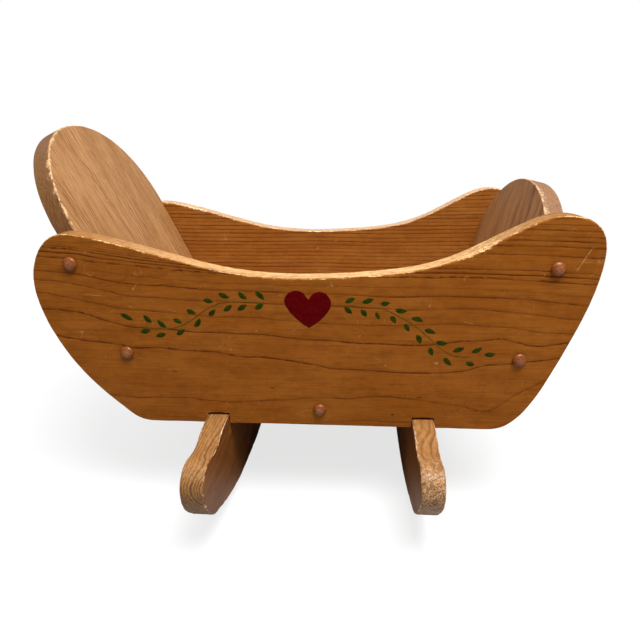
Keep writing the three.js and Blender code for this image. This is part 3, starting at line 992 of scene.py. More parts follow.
    # Worn arrises: the finish gone in a thin, broken, splintery line
    ragged = noise(1.3, 3.0, 4.0, 0.70)
    splinter = noise(7.0, 14.0, 3.0, 0.7)
    width = worn * (0.55 + ((ragged - 0.5) * 7.0 + (splinter - 0.5) * 5.5))
    bare = g.step(edge_distance - width, 0.40, -0.35) * g.step(worn, 0.02, 0.12)
    rubbed = g.layers(bare_wood, [(sawn, coarse, 0.35, 0.7, 0.45)])
    rubbed = g.mix(dark * 0.55, rubbed, late)
    rubbed = g.layers(rubbed, [(0.55 * early, splinter, 0.60, 0.8, 0.4)])
    colour = g.mix(bare * 0.93, colour, rubbed)
    colour = g.mix(dents * (0.40 * scuffs), colour, bare_wood)
    colour = g.mix(scratched * 0.75, colour, 0.5 * (pale + bare_wood))

    # End grain drinks the finish; dirt goes over everything
    pores = g.step(g.voronoi(lc * (2.0, 22.0, 22.0)), 0.5, 0.15, 0.10, 0.42)
    colour = g.mix(g.attr("endg") * pores, colour, 0.62 * late)
    dirt_patches = g.step(noise(2.4, 4.4, 4.0, 0.7), 0.25, 0.7, 0.40, 1.0)
    colour = g.mix(grime * dirt_patches, colour, dirt)

    relief = (dark * 0.5 + (fine - 0.5) * 0.35 + (coarse - 0.5) * 0.35
              + rim * (saw_streak * 0.5 + saw_grain * 0.6)
              - dents * 0.8 - scratched * 0.9 - bare * (splinter * 1.8))
    hollows = g.step(g.voronoi(lc * (0.75, 0.75, 0.75), "SMOOTH_F1"), 0.05, 0.30)
    grain_normal = g.bump(relief, strength=0.6, distance=0.00018)
    g.surface({
        "Base Color": colour,
        "Roughness": gloss + (coarse * 0.10 + bare * 0.26) + grime * 0.2,
        "Specular IOR Level": specular,
        "Coat Weight": coat,
        "Coat Roughness": 0.28,
        "Normal": g.bump(hollows, strength=0.4, distance=0.00018, normal=grain_normal)})
    return mat


# Painted board, in cm: start (x, z), end (x, z), width, strength
FRONT_SCRATCHES = [
    ((24.1, 25.4), (25.2, 27.7), 0.06, 0.75), ((-19.9, 22.8), (-18.0, 22.7), 0.05, 0.5),
    ((-12.0, 21.5), (-11.3, 21.25), 0.04, 0.5), ((-7.7, 17.5), (-6.2, 19.0), 0.035, 0.4),
    ((15.0, 20.7), (16.0, 20.5), 0.04, 0.5), ((5.6, 19.1), (5.85, 19.2), 0.05, 0.7),
    ((-4.0, 19.4), (-3.8, 19.5), 0.05, 0.8), ((8.1, 16.1), (8.3, 16.25), 0.05, 0.8)]
DARK_MARK = srgb(50, 20, 4)
# The same, with a colour before the strength
FRONT_MARKS = [
    ((-12.4, 15.1), (-11.8, 15.0), 0.07, DARK_MARK, 0.7),
    ((-2.85, 13.55), (-2.4, 13.5), 0.08, DARK_MARK, 0.7),
    ((11.3, 12.85), (11.9, 12.8), 0.08, DARK_MARK, 0.7),
    ((8.95, 10.85), (9.25, 10.85), 0.12, srgb(44, 18, 4), 0.8)]

FRONT_WOOD = make_wood(
    "wood_painted_side", early=srgb(144, 81, 23), late=srgb(80, 34, 7), pale=srgb(155, 91, 30),
    bare_wood=srgb(244, 200, 142), sawn=srgb(128, 90, 50), seed=1.0, warp=0.7, line=1.05,
    up=1.7, down=0.45, streaks=0.18, flecks=0.9, scuffs=1.0, hair=0.42, hair_from=0.57,
    scratches=FRONT_SCRATCHES, marks=FRONT_MARKS, coat=0.0, specular=0.03)
BACK_WOOD = make_wood(
    "wood_back_side", early=srgb(152, 91, 33), late=srgb(96, 46, 10), pale=srgb(164, 104, 42),
    bare_wood=srgb(240, 210, 172), sawn=srgb(190, 150, 106), seed=2.0, warp=0.55, line=1.3,
    up=1.3, down=0.4, streaks=0.15, flecks=0.4, hair=0.3, chatter=1.2, specular=0.10)
HEAD_WOOD = make_wood(
    "wood_headboard", early=srgb(163, 117, 69), late=srgb(110, 66, 30), pale=srgb(176, 130, 83),
    bare_wood=srgb(218, 176, 126), sawn=srgb(98, 60, 24), seed=3.0, warp=0.9, line=1.25,
    up=1.05, down=0.35, rim_lines=0.0, streaks=0.55, flecks=0.5, scuffs=0.6, fibre=1.3,
    blotch=1.2, chatter=0.3)
FOOT_WOOD = make_wood(
    "wood_footboard", early=srgb(168, 119, 74), late=srgb(114, 70, 36), pale=srgb(181, 132, 85),
    bare_wood=srgb(206, 172, 136), sawn=srgb(112, 80, 54), seed=4.0, warp=0.8, line=1.0,
    up=1.3, down=0.4, rim_lines=0.0, rim_fine=1.9, streaks=0.45, flecks=0.4, hair=0.4,
    fibre=1.2, blotch=1.3, chatter=0.3)
DECK_WOOD = make_wood(
    "wood_bottom", early=srgb(176, 116, 64), late=srgb(112, 62, 26), pale=srgb(190, 132, 78),
    bare_wood=srgb(222, 174, 124), sawn=srgb(190, 134, 82), seed=5.0, warp=0.9, line=0.8,
    up=2.2, down=0.7, flecks=0.7, scuffs=0.8)
ROCKER_WOOD = make_wood(
    "wood_rockers", early=srgb(134, 76, 24), late=srgb(58, 28, 9), pale=srgb(146, 90, 36),
    bare_wood=srgb(234, 204, 168), sawn=srgb(168, 122, 72), seed=6.0, warp=0.7, line=1.35,
    up=1.5, down=0.4, rim_lines=0.0, mottle=1.0, streaks=0.3, flecks=0.5, scuffs=0.6, hair=0.3,
    gloss=0.36, coat=0.06, specular=0.10, dirt=srgb(108, 90, 74))


# ---------------------------------------------------------------- side boards
def with_notches(outline, board_y):
    """Cuts the rocker notches into the straight underside as sharp corners."""
    middles = [x + ROCKER_SKEW * board_y for x in sorted(ROCKER_X)]
    out = []
    for (x, z), (next_x, next_z) in zip(outline, np.roll(outline, -1, axis=0)):
        if z >= 96 or all(abs(x - middle_x) >= NOTCH_W / 2 + 0.2 for middle_x in middles):
            out.append((x, z))
        for middle_x in middles:                 # the outline runs towards +x down here
            left = middle_x - NOTCH_W / 2
            right = left + NOTCH_W
            if z < 96 and next_z < 96 and x <= left < next_x and abs(z - next_z) < 1.0:
                out += [(left, UNDERSIDE), (left, NOTCH_TOP),
                        (right, NOTCH_TOP), (right, UNDERSIDE)]
    return out


def side_radius(x, z):
    """Edge rounding: crisp below, fuller along the top towards +x of the board."""
    if z < 240:
        return 1.15
    return float(np.interp(x, [-200, -60, 40, 110, 200, 235, 255],
                           [1.1, 1.3, 1.7, 2.3, 2.2, 1.8, 1.3]))


def nicks(points, span, seed, threshold):
    """Scattered nicks about span mm apart, where noise rises above the threshold."""
    noise = grid_noise(points[:, 0] / span, points[:, 1] / span, seed)
    return np.clip(noise - threshold, 0, 1)


def front_chips(points):
    x, top = points[:, 0], points[:, 1] > 200
    heavy = (np.exp(-((x - 160) / 16) ** 2) * top * 2.2
             + np.exp(-((x + 130) / 40) ** 2) * top * 0.5)
    return (heavy + nicks(points, 6, 91, 0.35) * (0.4 + 1.9 * top),
            nicks(points, 13, 92, 0.4) * 2.0)


def back_chips(points):
    return (nicks(points, 12, 94, 0.45) * 2.2,
            nicks(points, 10, 95, 0.35) * 2.4 * (points[:, 1] > 200))


def even_chips(seed, amount):
    def chips(points):
        return (nicks(points, 11, seed, 0.4) * amount, nicks(points, 12, seed + 1, 0.4) * amount)
    return chips


def side_worn(at):
    """Wear of the top edge, with a bare patch near x = 162."""
    up = smooth01((at.rise + 0.2) / 0.7)
    patch = (3.0 * np.exp(-((at.x - 162) / 15) ** 2) * up * (at.y > 240)
             * (0.4 + 0.6 * at.rim))
    return (0.10 + 0.62 * up + patch) * (1 + 0.35 * grid_noise(at.x / 24, at.y / 24, 12))


# Painted highlight along the top edges, with bare wood: strongest along the middle of the board.
def front_lite(at):
    return at.rim * (at.y > 235) * np.interp(at.x, [-215, -150, -60, 40, 150, 200, 235],
                                             [0.05, 0.3, 0.75, 0.9, 0.7, 0.2, 0.05])


def back_lite(at):
    return at.rim * (at.y > 235) * 0.6


SIDE_CURVE = spline(SIDE_OUTLINE)


def side_board(name, node, wood, outer_y, inner_y, facing, rings, lite, **shape):
    """A side board; facing is 1 at the front and -1 at the back, where x runs to the head."""
    outline = [(facing * x, z) for x, z in with_notches(SIDE_CURVE, (outer_y + inner_y) / 2)]
    board = Board(name, outline, BOARD, (0, outer_y, 0),
                  ((facing, 0, 0), (0, 0, 1), (0, facing, 0)), radius=side_radius, **shape)
    cutters = [bore((x, outer_y, z), (0, -facing, 0)) for x, z in FIXINGS.values()]
    finish_board(board, wood, node, rings, side_worn, cutters, lite=lite)
    return board


FRONT_BOARD = side_board(
    "painted_side_board", "side_board_front", FRONT_WOOD, FRONT_OUT, FRONT_IN, 1,
    front_rings, front_lite, chips=front_chips, seed=11, step=1.5, grid=2.9)
side_board(
    "far_side_board", "side_board_back", BACK_WOOD, BACK_OUT, BACK_IN, -1,
    back_rings, back_lite, chips=back_chips, seed=31, step=1.6, grid=3.4)


# ---------------------------------------------------------------- end boards
def arch_outline(board, low):
    """Square foot at low, straight sides and an arched top."""
    half = BACK_IN - FIT_GAP
    points = [(-half, low), (half, low)]
    for i in range(241):
        angle = math.pi * i / 240
        cos, sin = math.cos(angle), math.sin(angle)
        points.append((
            half * math.copysign(abs(cos) ** (2 * board["side_power"]), cos),
            board["spring"]
            + (board["top"] - board["spring"]) * abs(sin) ** (2 / board["rise_power"])))
    return points


def end_board(name, node, wood, spec):
    end, seed = spec["end"], spec["seed"]
    lean = math.radians(spec["lean"])
    sin, cos = math.sin(lean), math.cos(lean)
    low = (DECK_BOTTOM - PIN_Z) / cos
    board = Board(name, arch_outline(spec, low), BOARD, (spec["x"], 0, PIN_Z),
                  ((0, -end, 0), (end * sin, 0, cos), (end * cos, 0, -sin)),
                  seed=seed, step=1.5, grid=4.2, radius=lambda x, y: 1.25,
                  chips=even_chips(seed + 40, 1.5))
    # Bevel the foot level with the ground
    share = np.clip(1 - (board.local[:, 1] - low) / 24.0, 0, 1)
    board.local[:, 1] += board.local[:, 2] * (sin / cos) * share

    def rings(x, y, depth):
        per_x, per_y, per_depth = spec["ring_slope"]
        wobble = 2.6 * grid_noise(y / 85, x / 34, seed) + 0.9 * grid_noise(y / 30, x / 12, seed + 1)
        top = smooth01((y - 55) / 70)
        level = (per_x * (x - spec["ring_origin"]) + per_y * y + per_depth * depth + wobble
                 + spec["ring_arch"] * top * np.abs(np.tanh((x + 12) / 22.0)))
        ring = level / spec["ring_spacing"] + 0.5 * grid_noise(level / 11, 2.2, seed + 2)
        return ring, spec["ring_spacing"], 0.12 + 0.88 * hash01(np.round(ring), seed) ** 1.6

    def worn(at):
        wear = spec["front_wear"]
        up = smooth01((at.rise + 0.4) / 0.9)
        near = smooth01((end * at.x - 10) / 40)  # towards the front side board
        ripple = grid_noise(at.y / wear["span"], at.depth / 4, 6)
        return ((0.12 + 0.50 * up) * (1 + 0.4 * grid_noise(at.x / 22, at.y / 22, seed))
                + wear["amount"] * near * (at.depth < wear["reach"])
                * (wear["on_face"] + (1 - wear["on_face"]) * at.rim)
                * (1 + wear["ripple"] * ripple))

    finish_board(board, wood, node, rings, worn,
                 edge_pilots("head" if end < 0 else "foot"), grain_along_y=True)


end_board("headboard_panel", "headboard", HEAD_WOOD, HEAD)
end_board("footboard_panel", "footboard", FOOT_WOOD, FOOT)


# ---------------------------------------------------------------- bottom board
def bottom_board():
    head_slope = math.tan(math.radians(HEAD["lean"]))
    foot_slope = math.tan(math.radians(FOOT["lean"]))
    head_x = HEAD["x"] + (PIN_Z - DECK_TOP) * head_slope + FIT_GAP
    foot_x = FOOT["x"] - (PIN_Z - DECK_TOP) * foot_slope - FIT_GAP
    half = BACK_IN - FIT_GAP
    board = Board("bottom_panel",
                  [(head_x, -half), (foot_x, -half), (foot_x, half), (head_x, half)],
                  DECK_TOP - DECK_BOTTOM, (0, 0, DECK_TOP), ((1, 0, 0), (0, 1, 0), (0, 0, -1)),
                  seed=61, step=1.8, grid=4.6, radius=lambda x, y: 1.0)
    # Bevel both ends to meet the leaning end boards
    x, depth = board.local[:, 0], board.local[:, 2]
    head_share = np.clip(1 - (x - head_x) / 26.0, 0, 1)
    foot_share = np.clip(1 - (foot_x - x) / 26.0, 0, 1)
    board.local[:, 0] += depth * head_slope * head_share - depth * foot_slope * foot_share
    cutters = [countersink((x, y, DECK_TOP)) for middle_x in ROCKER_X
               for x, y in rocker_screws(middle_x)]
    finish_board(board, DECK_WOOD, "bottom_board", deck_rings,
                 worn=lambda at: 0.12 + 0.1 * at.rim, grime=lambda at: 0.10,
                 cutters=cutters + edge_pilots("bottom_mid"))


bottom_board()


# ---------------------------------------------------------------- rockers
def rocker(name, node, middle_x, seed, half, drop, rings, toe_rub):
    """A rocker. Its underside is lowered by drop towards the toes; toe_rub is how far the toes'
    edge is speckled at heights 60, 84 and 98, with wear and a painted glint."""
    half = list(half)
    for y in (180, 160, 135, 110, 85, 60, 35, 12):
        sag = drop * float(smooth01((y - 50) / 80.0))
        half.append((y, ROCKER_RADIUS - math.sqrt(ROCKER_RADIUS ** 2 - y * y) - sag))
    loop = half + [(-y, z) for y, z in half[1:][::-1]]
    cos, sin = math.cos(math.atan(ROCKER_SKEW)), math.sin(math.atan(ROCKER_SKEW))

    def radius(y, z):
        base = 0.9 if z > 60 else 1.6
        return base + (2.4 - base) * float(smooth01((abs(y) - 150) / 45.0))

    board = Board(name, spline(loop[::-1]), ROCKER_T,
                  (middle_x + ROCKER_T / 2 * cos, -ROCKER_T / 2 * sin, 0),
                  ((sin, cos, 0), (0, 0, 1), (-cos, sin, 0)),
                  seed=seed, step=1.5, grid=3.6, radius=radius, chips=even_chips(seed + 7, 2.2))

    def worn(at):
        toe = smooth01((np.abs(at.x) - 120) / 30)
        return ((0.15 + 0.65 * toe + 0.15 * (at.rise < -0.3))
                * (1 + 0.4 * grid_noise(at.x / 17, at.y / 17, seed)))

    def grime(at):
        toe = smooth01((np.abs(at.x) - 165) / 40)
        low = smooth01((66 - at.y) / 26)
        return np.clip(toe * low * (0.55 + 0.45 * at.rim)
                       + 0.22 * (at.rise < -0.4) * at.rim, 0, 1)

    # Toe edges speckled with wear and a painted glint.
    def rubbed(at):
        toe = smooth01((np.abs(at.x) - 168) / 26) * at.rim
        return toe * np.interp(at.y, [60, 84, 98], toe_rub)

    cutters = [pilot((x, y, DECK_BOTTOM - 0.3), (0, 0, 1), 23.0)
               for x, y in rocker_screws(middle_x)]
    finish_board(board, ROCKER_WOOD, node, rings, worn, cutters, grime, rubbed)


rocker("rocker_under_head", "rocker_head", ROCKER_X[0], seed=71, half=HEAD_ROCKER, drop=3.0,
       rings=head_rocker_rings, toe_rub=[0.45, 0.12, 0.12])
rocker("rocker_under_foot", "rocker_foot", ROCKER_X[1], seed=81, half=FOOT_ROCKER, drop=0.0,
       rings=foot_rocker_rings, toe_rub=[0.9, 1.0, 0.55])


# ---------------------------------------------------------------- button plugs
def plug_material():
    mat, g = material("wood_button_plug")
    lc = g.grain_coords()
    across = g.separate(lc)[1]
    wobble = g.noise(lc * (1.2, 3.0, 3.0), 3.0, 0.6)
    ring = g.math("FRACT", across * 7.5 + wobble * 2.2)
    dark = g.step(ring, 0.45, 0.92) * g.step(ring, 1.0, 0.95)
    fibre = g.noise(lc * (5.0, 60.0, 60.0), 3.0, 0.6)
    pores = g.voronoi(lc * (9.0, 34.0, 34.0))
    rubbed = g.attr("worn") * g.step(g.noise(lc * (7, 9, 9), 3.0), 0.35, 0.62)
    colour = g.layers(srgb(150, 80, 26), [(srgb(97, 43, 9), fibre, 0.3, 0.75, 1.0)])
    colour = g.mix(dark * 0.6, colour, srgb(70, 32, 10))
    colour = g.layers(colour, [(srgb(54, 24, 8), pores, 0.22, 0.08, 0.45)])
    colour = g.mix(rubbed, colour, srgb(196, 140, 88))
    # Painted shade: the foot of the plug darkened where it meets the board.
    colour = g.mix(g.attr("grime"), colour, srgb(34, 15, 5))
    relief = fibre * 0.4 - g.step(pores, 0.22, 0.08) * 0.5
    g.surface({
        "Base Color": colour,
        "Roughness": 0.33 + fibre * 0.16,
        "Coat Weight": 0.22,
        "Coat Roughness": 0.22,
        "Specular IOR Level": 0.22,
        "Normal": g.bump(relief, strength=0.5, distance=0.0001)})
    return mat


PLUG_WOOD = plug_material()


def plug_profile():
    """(radius, z) of a plug: peg below z = 0, rolled rim, domed top."""
    points = [(0, -5.6), (3.4, -5.6), (4.0, -5.3), (4.35, -4.7), (4.4, -2.0), (4.4, 0.3),
              (4.6, 0.32), (5.4, 0.3), (6.0, 0.34), (6.25, 0.48), (6.38, 0.75), (6.4, 1.05),
              (6.37, 1.35), (6.26, 1.7)]
    rim_radius, rim_z = points[-1]
    dome_z = 0.2                                 # centre height of the dome
    start = math.asin((rim_z - dome_z) / (PLUG_H - dome_z))
    for i in range(1, 16):
        angle = start + (math.pi / 2 - start) * i / 16
        points.append((rim_radius / math.cos(start) ** 0.95 * math.cos(angle) ** 0.95,
                       dome_z + (PLUG_H - dome_z) * math.sin(angle)))
    return points + [(0, PLUG_H)]


def button_plug(side, place, origin, outward, number):
    rng = np.random.default_rng(500 + number)
    phases, amounts = rng.uniform(0, 6.28, 3), rng.uniform(0.02, 0.07, 3)

    def out_of_round(angle, z, radius):
        return (amounts[0] * math.cos(2 * angle + phases[0])
                + amounts[1] * 0.6 * math.cos(3 * angle + phases[1])) * (radius / 6.4) * (z > 0.2)

    verts, faces = lathe(plug_profile(), 56, out_of_round)
    ob = new_mesh("button_plug_cap_%s_%s" % (side, place),
                  place_along(verts, origin, outward) * MM, faces)
    recalc_normals(ob.data)
    smooth_shade(ob.data)
    x, y, z = verts.T
    turn = rng.uniform(-0.5, 0.5)                # of the grain
    cos, sin = math.cos(turn), math.sin(turn)
    grain = np.stack([x * cos - y * sin + 11 * number, x * sin + y * cos + 7 * number,
                      z + 3 * number], 1) / 10
    # The dark band round the foot of the plug is painted shade where it meets the board.
    set_attrs(ob.data, lc=grain,
              worn=0.35 * smooth01((z - 3.4) / 1.1) * rng.uniform(0.3, 1.0),
              grime=0.85 * smooth01((1.0 - z) / 0.8))
    ob.data.materials.append(PLUG_WOOD)
    register(ob, "button_plug_%s_%s" % (side, place))


# ---------------------------------------------------------------- wood screws
def steel_material():
    mat, g = material("zinc_plated_steel")
    lc = g.grain_coords()
    fine = g.noise(lc, 4.0, 0.6, scale=9.0)
    broad = g.noise(lc, 2.0, 0.5, scale=2.2)
    spots = g.step(g.noise(lc, 3.0, 0.7, scale=16.0), 0.60, 0.70)
    colour = g.layers(srgb(176, 174, 168), [(srgb(146, 142, 132), broad, 0.35, 0.7, 1.0)])
    colour = g.mix(spots * 0.65, colour, srgb(96, 72, 52))
    # Darker inside the cross recess.
    colour = g.mix(g.attr("grime"), colour, srgb(46, 38, 32))
    g.surface({
        "Base Color": colour,
        "Metallic": 0.95 - spots * 0.6,
        "Roughness": 0.28 + (fine * 0.22 + spots * 0.25),
        "Normal": g.bump(fine, strength=0.35, distance=0.00005)})
    return mat


STEEL = steel_material()


def recess_wedge(turn):
    """One tapered bar of the cross recess, turned about z."""
    cos, sin = math.cos(turn), math.sin(turn)
    points = []
    for z, length, width in ((0.6, 4.4, 1.05), (-1.9, 4.4 * 0.42, 1.05 * 0.7)):
        for side_x, side_y in ((-1, -1), (1, -1), (1, 1), (-1, 1)):
            x, y = side_x * length / 2, side_y * width / 2
            points.append((x * cos - y * sin, x * sin + y * cos, z))
    return points, [[0, 1, 2, 3], [7, 6, 5, 4], [0, 4, 5, 1], [1, 5, 6, 2], [2, 6, 7, 3],
                    [3, 7, 4, 0]]


def screw_solid():
    """Verts (mm) and faces of a screw along z, with the top of its head at z = 0."""
    length, head_radius, head_height, pitch, thread_top = 34.0, 4.1, 2.4, 2.3, -11.0
    profile = [(0, -length), (0.25, -length + 0.5)]
    z = -length + 0.9
    while z < thread_top:
        profile.append((0.35 + 1.05 * min(1.0, (z + length) / 7.0), z))
        z += pitch / 8
    profile += [(1.45, -10.6), (1.55, -9.8), (1.95, -9.2), (2.05, -8.6), (2.05, -4.6),
                (2.05, -2.6), (2.15, -head_height), (head_radius - 0.12, -0.42),
                (head_radius, -0.3), (head_radius, -0.08), (head_radius - 0.1, 0), (3.0, 0),
                (0, 0)]

    def thread(angle, z, radius):
        if z > thread_top or z < -length + 0.7:
            return 0
        fade = min(1.0, (z + length) / 7.0) * min(1.0, (thread_top - z) / 1.5 + 0.05)
        phase = (z / pitch - angle / (2 * math.pi)) % 1.0
        return 0.72 * fade * max(0.0, 1 - abs(phase - 0.5) / 0.22)

    ob = new_mesh("screw_seed", *lathe(profile, 28, thread))
    recalc_normals(ob.data)
    for turn in (0.0, math.pi / 2):
        subtract(ob, "wedge", *recess_wedge(turn))
    verts = coords(ob.data)
    faces = [list(polygon.vertices) for polygon in ob.data.polygons]
    bpy.data.objects.remove(ob)
    return verts, faces


SCREW_VERTS, SCREW_FACES = screw_solid()


def screw(name, node, origin, direction, turn, number):
    cos, sin = math.cos(turn), math.sin(turn)
    turned = SCREW_VERTS @ np.array([[cos, -sin, 0], [sin, cos, 0], [0, 0, 1]]).T
    ob = new_mesh(name, place_along(turned, origin, direction) * MM, SCREW_FACES)
    x, y, z = SCREW_VERTS.T
    in_recess = (z < -0.9) * (np.hypot(x, y) < 2.4) * (z > -2.2)
    set_attrs(ob.data, lc=(SCREW_VERTS + np.array([number * 13, number * 5, 0])) / 10,
              grime=0.7 * in_recess)
    ob.data.materials.append(STEEL)
    ob.data.set_sharp_from_angle(angle=math.radians(35))
    register(ob, node)


number = 0                                       # gives each plug and screw its own grain
for side, face_y, outward in (("front", FRONT_OUT, -1), ("back", BACK_OUT, 1)):
    for place, (x, z) in FIXINGS.items():
        button_plug(side, place, (x, face_y, z), (0, outward, 0), number)
        screw("wood_screw_%s_%s" % (side, place), "screw_%s_%s" % (side, place),
              (x, face_y - outward * (BORE_DEPTH - 0.1), z), (0, outward, 0),
              turn=0.37 * number, number=number)
        number += 1
for end, middle_x in zip(("head", "foot"), ROCKER_X):
    for side, (x, y) in zip(("front", "back"), rocker_screws(middle_x)):
        screw("rocker_fixing_%s_%s" % (end, side), "rocker_screw_%s_%s" % (end, side),
              (x, y, DECK_TOP - 0.8), (0, 0, 1), turn=0.9 * number, number=number)
        number += 1


# ---------------------------------------------------------------- painted heart, stems, leaves
PAINT_BACK = 0.34                                # depth in the board where paint pieces close


def paint_material(name, base, dark, light, roughness, wear):
    mat, g = material(name)
    lc = g.grain_coords()
    brush = g.noise(lc * (3.0, 22.0, 3.0), 3.0, 0.6)
    patch = g.noise(lc * (2.2, 2.2, 2.2), 3.0, 0.55)
    thin = g.step(g.noise(lc * (7.0, 16.0, 7.0), 4.0, 0.7), 0.60, 0.72) * wear
    colour = g.layers(dark, [(base, patch, 0.35, 0.68, 1.0), (light, brush, 0.5, 0.8, 0.55)])
    g.surface({
        "Base Color": g.mix(thin, colour, srgb(122, 70, 28)),
        "Roughness": roughness + brush * 0.15,
        "Specular IOR Level": 0.02,
        "Normal": g.bump(brush + patch * 0.4, strength=0.6, distance=0.00008)})
    return mat


HEART_RED = paint_material("paint_red", base=srgb(92, 3, 6), dark=srgb(74, 1, 4),
                           light=srgb(112, 12, 12), roughness=0.42, wear=0.12)
LEAF_GREEN = paint_material("paint_green", base=srgb(46, 58, 8), dark=srgb(32, 42, 4),
                            light=srgb(70, 84, 20), roughness=0.45, wear=0.30)
STEM_OLIVE = paint_material("paint_olive", base=srgb(96, 76, 20), dark=srgb(78, 56, 12),
                            light=srgb(112, 92, 34), roughness=0.45, wear=0.7)


def face_depth(x, z):
    return float(FRONT_BOARD.bow(x, z, 0))


def paint_piece(name, parts, paint):
    """One object from parts of (verts as x, z, depth; faces)."""
    verts, faces = [], []
    for part_verts, part_faces in parts:
        offset = len(verts)
        verts += part_verts
        faces += [[i + offset for i in face] for face in part_faces]
    ob = new_mesh(name, np.array([(x, FRONT_OUT + depth, z) for x, z, depth in verts]) * MM,
                  faces)
    recalc_normals(ob.data)
    set_attrs(ob.data, lc=np.array(verts) / 10)
    ob.data.materials.append(paint)
    smooth_shade(ob.data)
    register(ob)


def stroke(path, width, height):
    """A brush stroke along a path; width and height are functions of 0..1 along it."""
    size = len(path)
    normals = turn_left(unit(np.gradient(path, axis=0)))
    # Across the stroke: side offset over width, height over full height
    section = [(-1.0, 0.0), (-0.82, 0.55), (-0.45, 0.92), (0.0, 1.0), (0.45, 0.92),
               (0.82, 0.55), (1.0, 0.0)]
    per_row = len(section) + 2
    verts, faces = [], []
    for i in range(size):
        part = i / (size - 1)
        half_width, full_height = width(part), height(part)
        for side, level in section:
            x, z = path[i] + normals[i] * side * half_width
            sunk = 0.03 if level == 0 else 0
            verts.append((x, z, face_depth(x, z) - full_height * level + sunk))
        for side in (0.9, -0.9):
            x, z = path[i] + normals[i] * side * half_width
            verts.append((x, z, PAINT_BACK))
    for i in range(size - 1):
        for j in range(per_row):
            near, after = i * per_row + j, i * per_row + (j + 1) % per_row
            faces.append([near, after, after + per_row, near + per_row])
    faces.append(list(range(per_row)))
    faces.append(list(range((size - 1) * per_row, size * per_row))[::-1])
    return verts, faces


def leaf(x0, z0, x1, z1, rng):
    start = np.array((x0, z0), float)
    run = np.array((x1, z1), float) - start
    length = np.hypot(*run)
    normal = np.array([-run[1], run[0]]) / length
    bend = rng.uniform(-0.07, 0.07) * length
    path = np.array([start + run * f + normal * bend * math.sin(math.pi * f)
                     for f in np.linspace(-0.04, 1.04, 18)])
    half_width = (0.27 * length + 0.35) * rng.uniform(0.88, 1.1)
    half_width = min(2.55, max(1.7, half_width))
    power = math.log(0.5) / math.log(rng.uniform(0.40, 0.52))   # the draw is the widest place

    def width(part):
        return max(0.12, half_width * math.sin(math.pi * part ** power) ** 0.8)

    return stroke(path, width, lambda part: 0.20 * max(0.25, math.sin(math.pi * part) ** 0.5))


def stem(points, seed):
    path = smooth_path(points)
    ripple = loop_noise(len(path), 24, seed)

    def width(part):
        i = int(part * (len(path) - 1))
        taper = min(1, 0.25 + 9 * part, 0.25 + 9 * (1 - part))
        return max(0.14, 0.52 * (1 + 0.3 * ripple[i]) * taper)

    return stroke(path, width, lambda part: 0.12)


# Stems: (x, z) along each
LEFT_STEM = [
    (-31, 222), (-45, 222.6), (-60, 222.5), (-70, 221.4), (-80, 217.6), (-90, 211),
    (-100, 203.6), (-110, 198.4), (-120, 195.6), (-132, 195), (-150, 195)]
RIGHT_STEM = [
    (40, 220.6), (50, 220.4), (61, 219.3), (72, 218.9), (80, 217.2), (90, 212.3), (100, 206.8),
    (110, 199.8), (120.3, 190.8), (130, 181.8), (139.7, 175), (149.4, 172.2), (165, 172)]
# Leaves: x, z of the left end, then x, z of the right end
LEFT_LEAVES = [
    (-166, 209.3, -155.3, 203.3), (-144, 208.4, -137.6, 201.3), (-131.3, 203.6, -124, 196.7),
    (-116, 204.7, -108.7, 201.3), (-149.3, 191.6, -139.6, 193.7), (-134.7, 187.3, -125.3, 190),
    (-114.3, 189.3, -106.7, 194.7), (-102.7, 214, -94.7, 211.3), (-96.7, 197.7, -91.3, 206),
    (-86, 224, -78.3, 222), (-82, 209, -76, 215), (-71.3, 230.7, -62.3, 226.7),
    (-68, 213.7, -60.7, 219.3), (-53.3, 232, -46.3, 225.7), (-55, 215, -46.7, 220),
    (-37.7, 232.3, -30.4, 225.4), (-38.7, 216.3, -31, 221.3)]
RIGHT_LEAVES = [
    (44, 223.7, 52, 227.7), (43, 219.3, 49.6, 213.4), (59, 223.7, 68.7, 227.3),
    (58, 217, 62.7, 210.7), (75.6, 223, 83.3, 224), (71.3, 214.7, 74.7, 208.3),
    (89, 217.2, 98.8, 216.2), (84.9, 210.7, 89.4, 204.7), (103.6, 209.6, 113.6, 207),
    (97.8, 203.7, 102, 196.8), (116.4, 198.2, 125.8, 195), (109.4, 193.2, 113, 184.8),
    (127.5, 186.2, 137.6, 185.3), (122.4, 181, 125, 173.2), (143.6, 177.3, 153.3, 181),
    (136.3, 170.4, 143.2, 163.7), (160.8, 177, 169.2, 181.8), (156.4, 166.5, 164, 164),
    (172.6, 174.8, 182, 175.5)]
# Heart outline, (x, z): from the cleft down the left side to the point, then up the right side
HEART = [
    (10, 225.9), (5.2, 232.3), (-1.3, 234.3), (-7.6, 231.8), (-11.2, 227.4), (-11.7, 222.6),
    (-9, 216.5), (-4.7, 211), (2, 204.3), (10.3, 198.4), (20.4, 205.6), (27.1, 213.4),
    (30.1, 219.3), (30.2, 225.4), (26.8, 230.8), (20.7, 233.5), (14.4, 231.2)]
HEART_POINT = 9                                  # index of the point in HEART


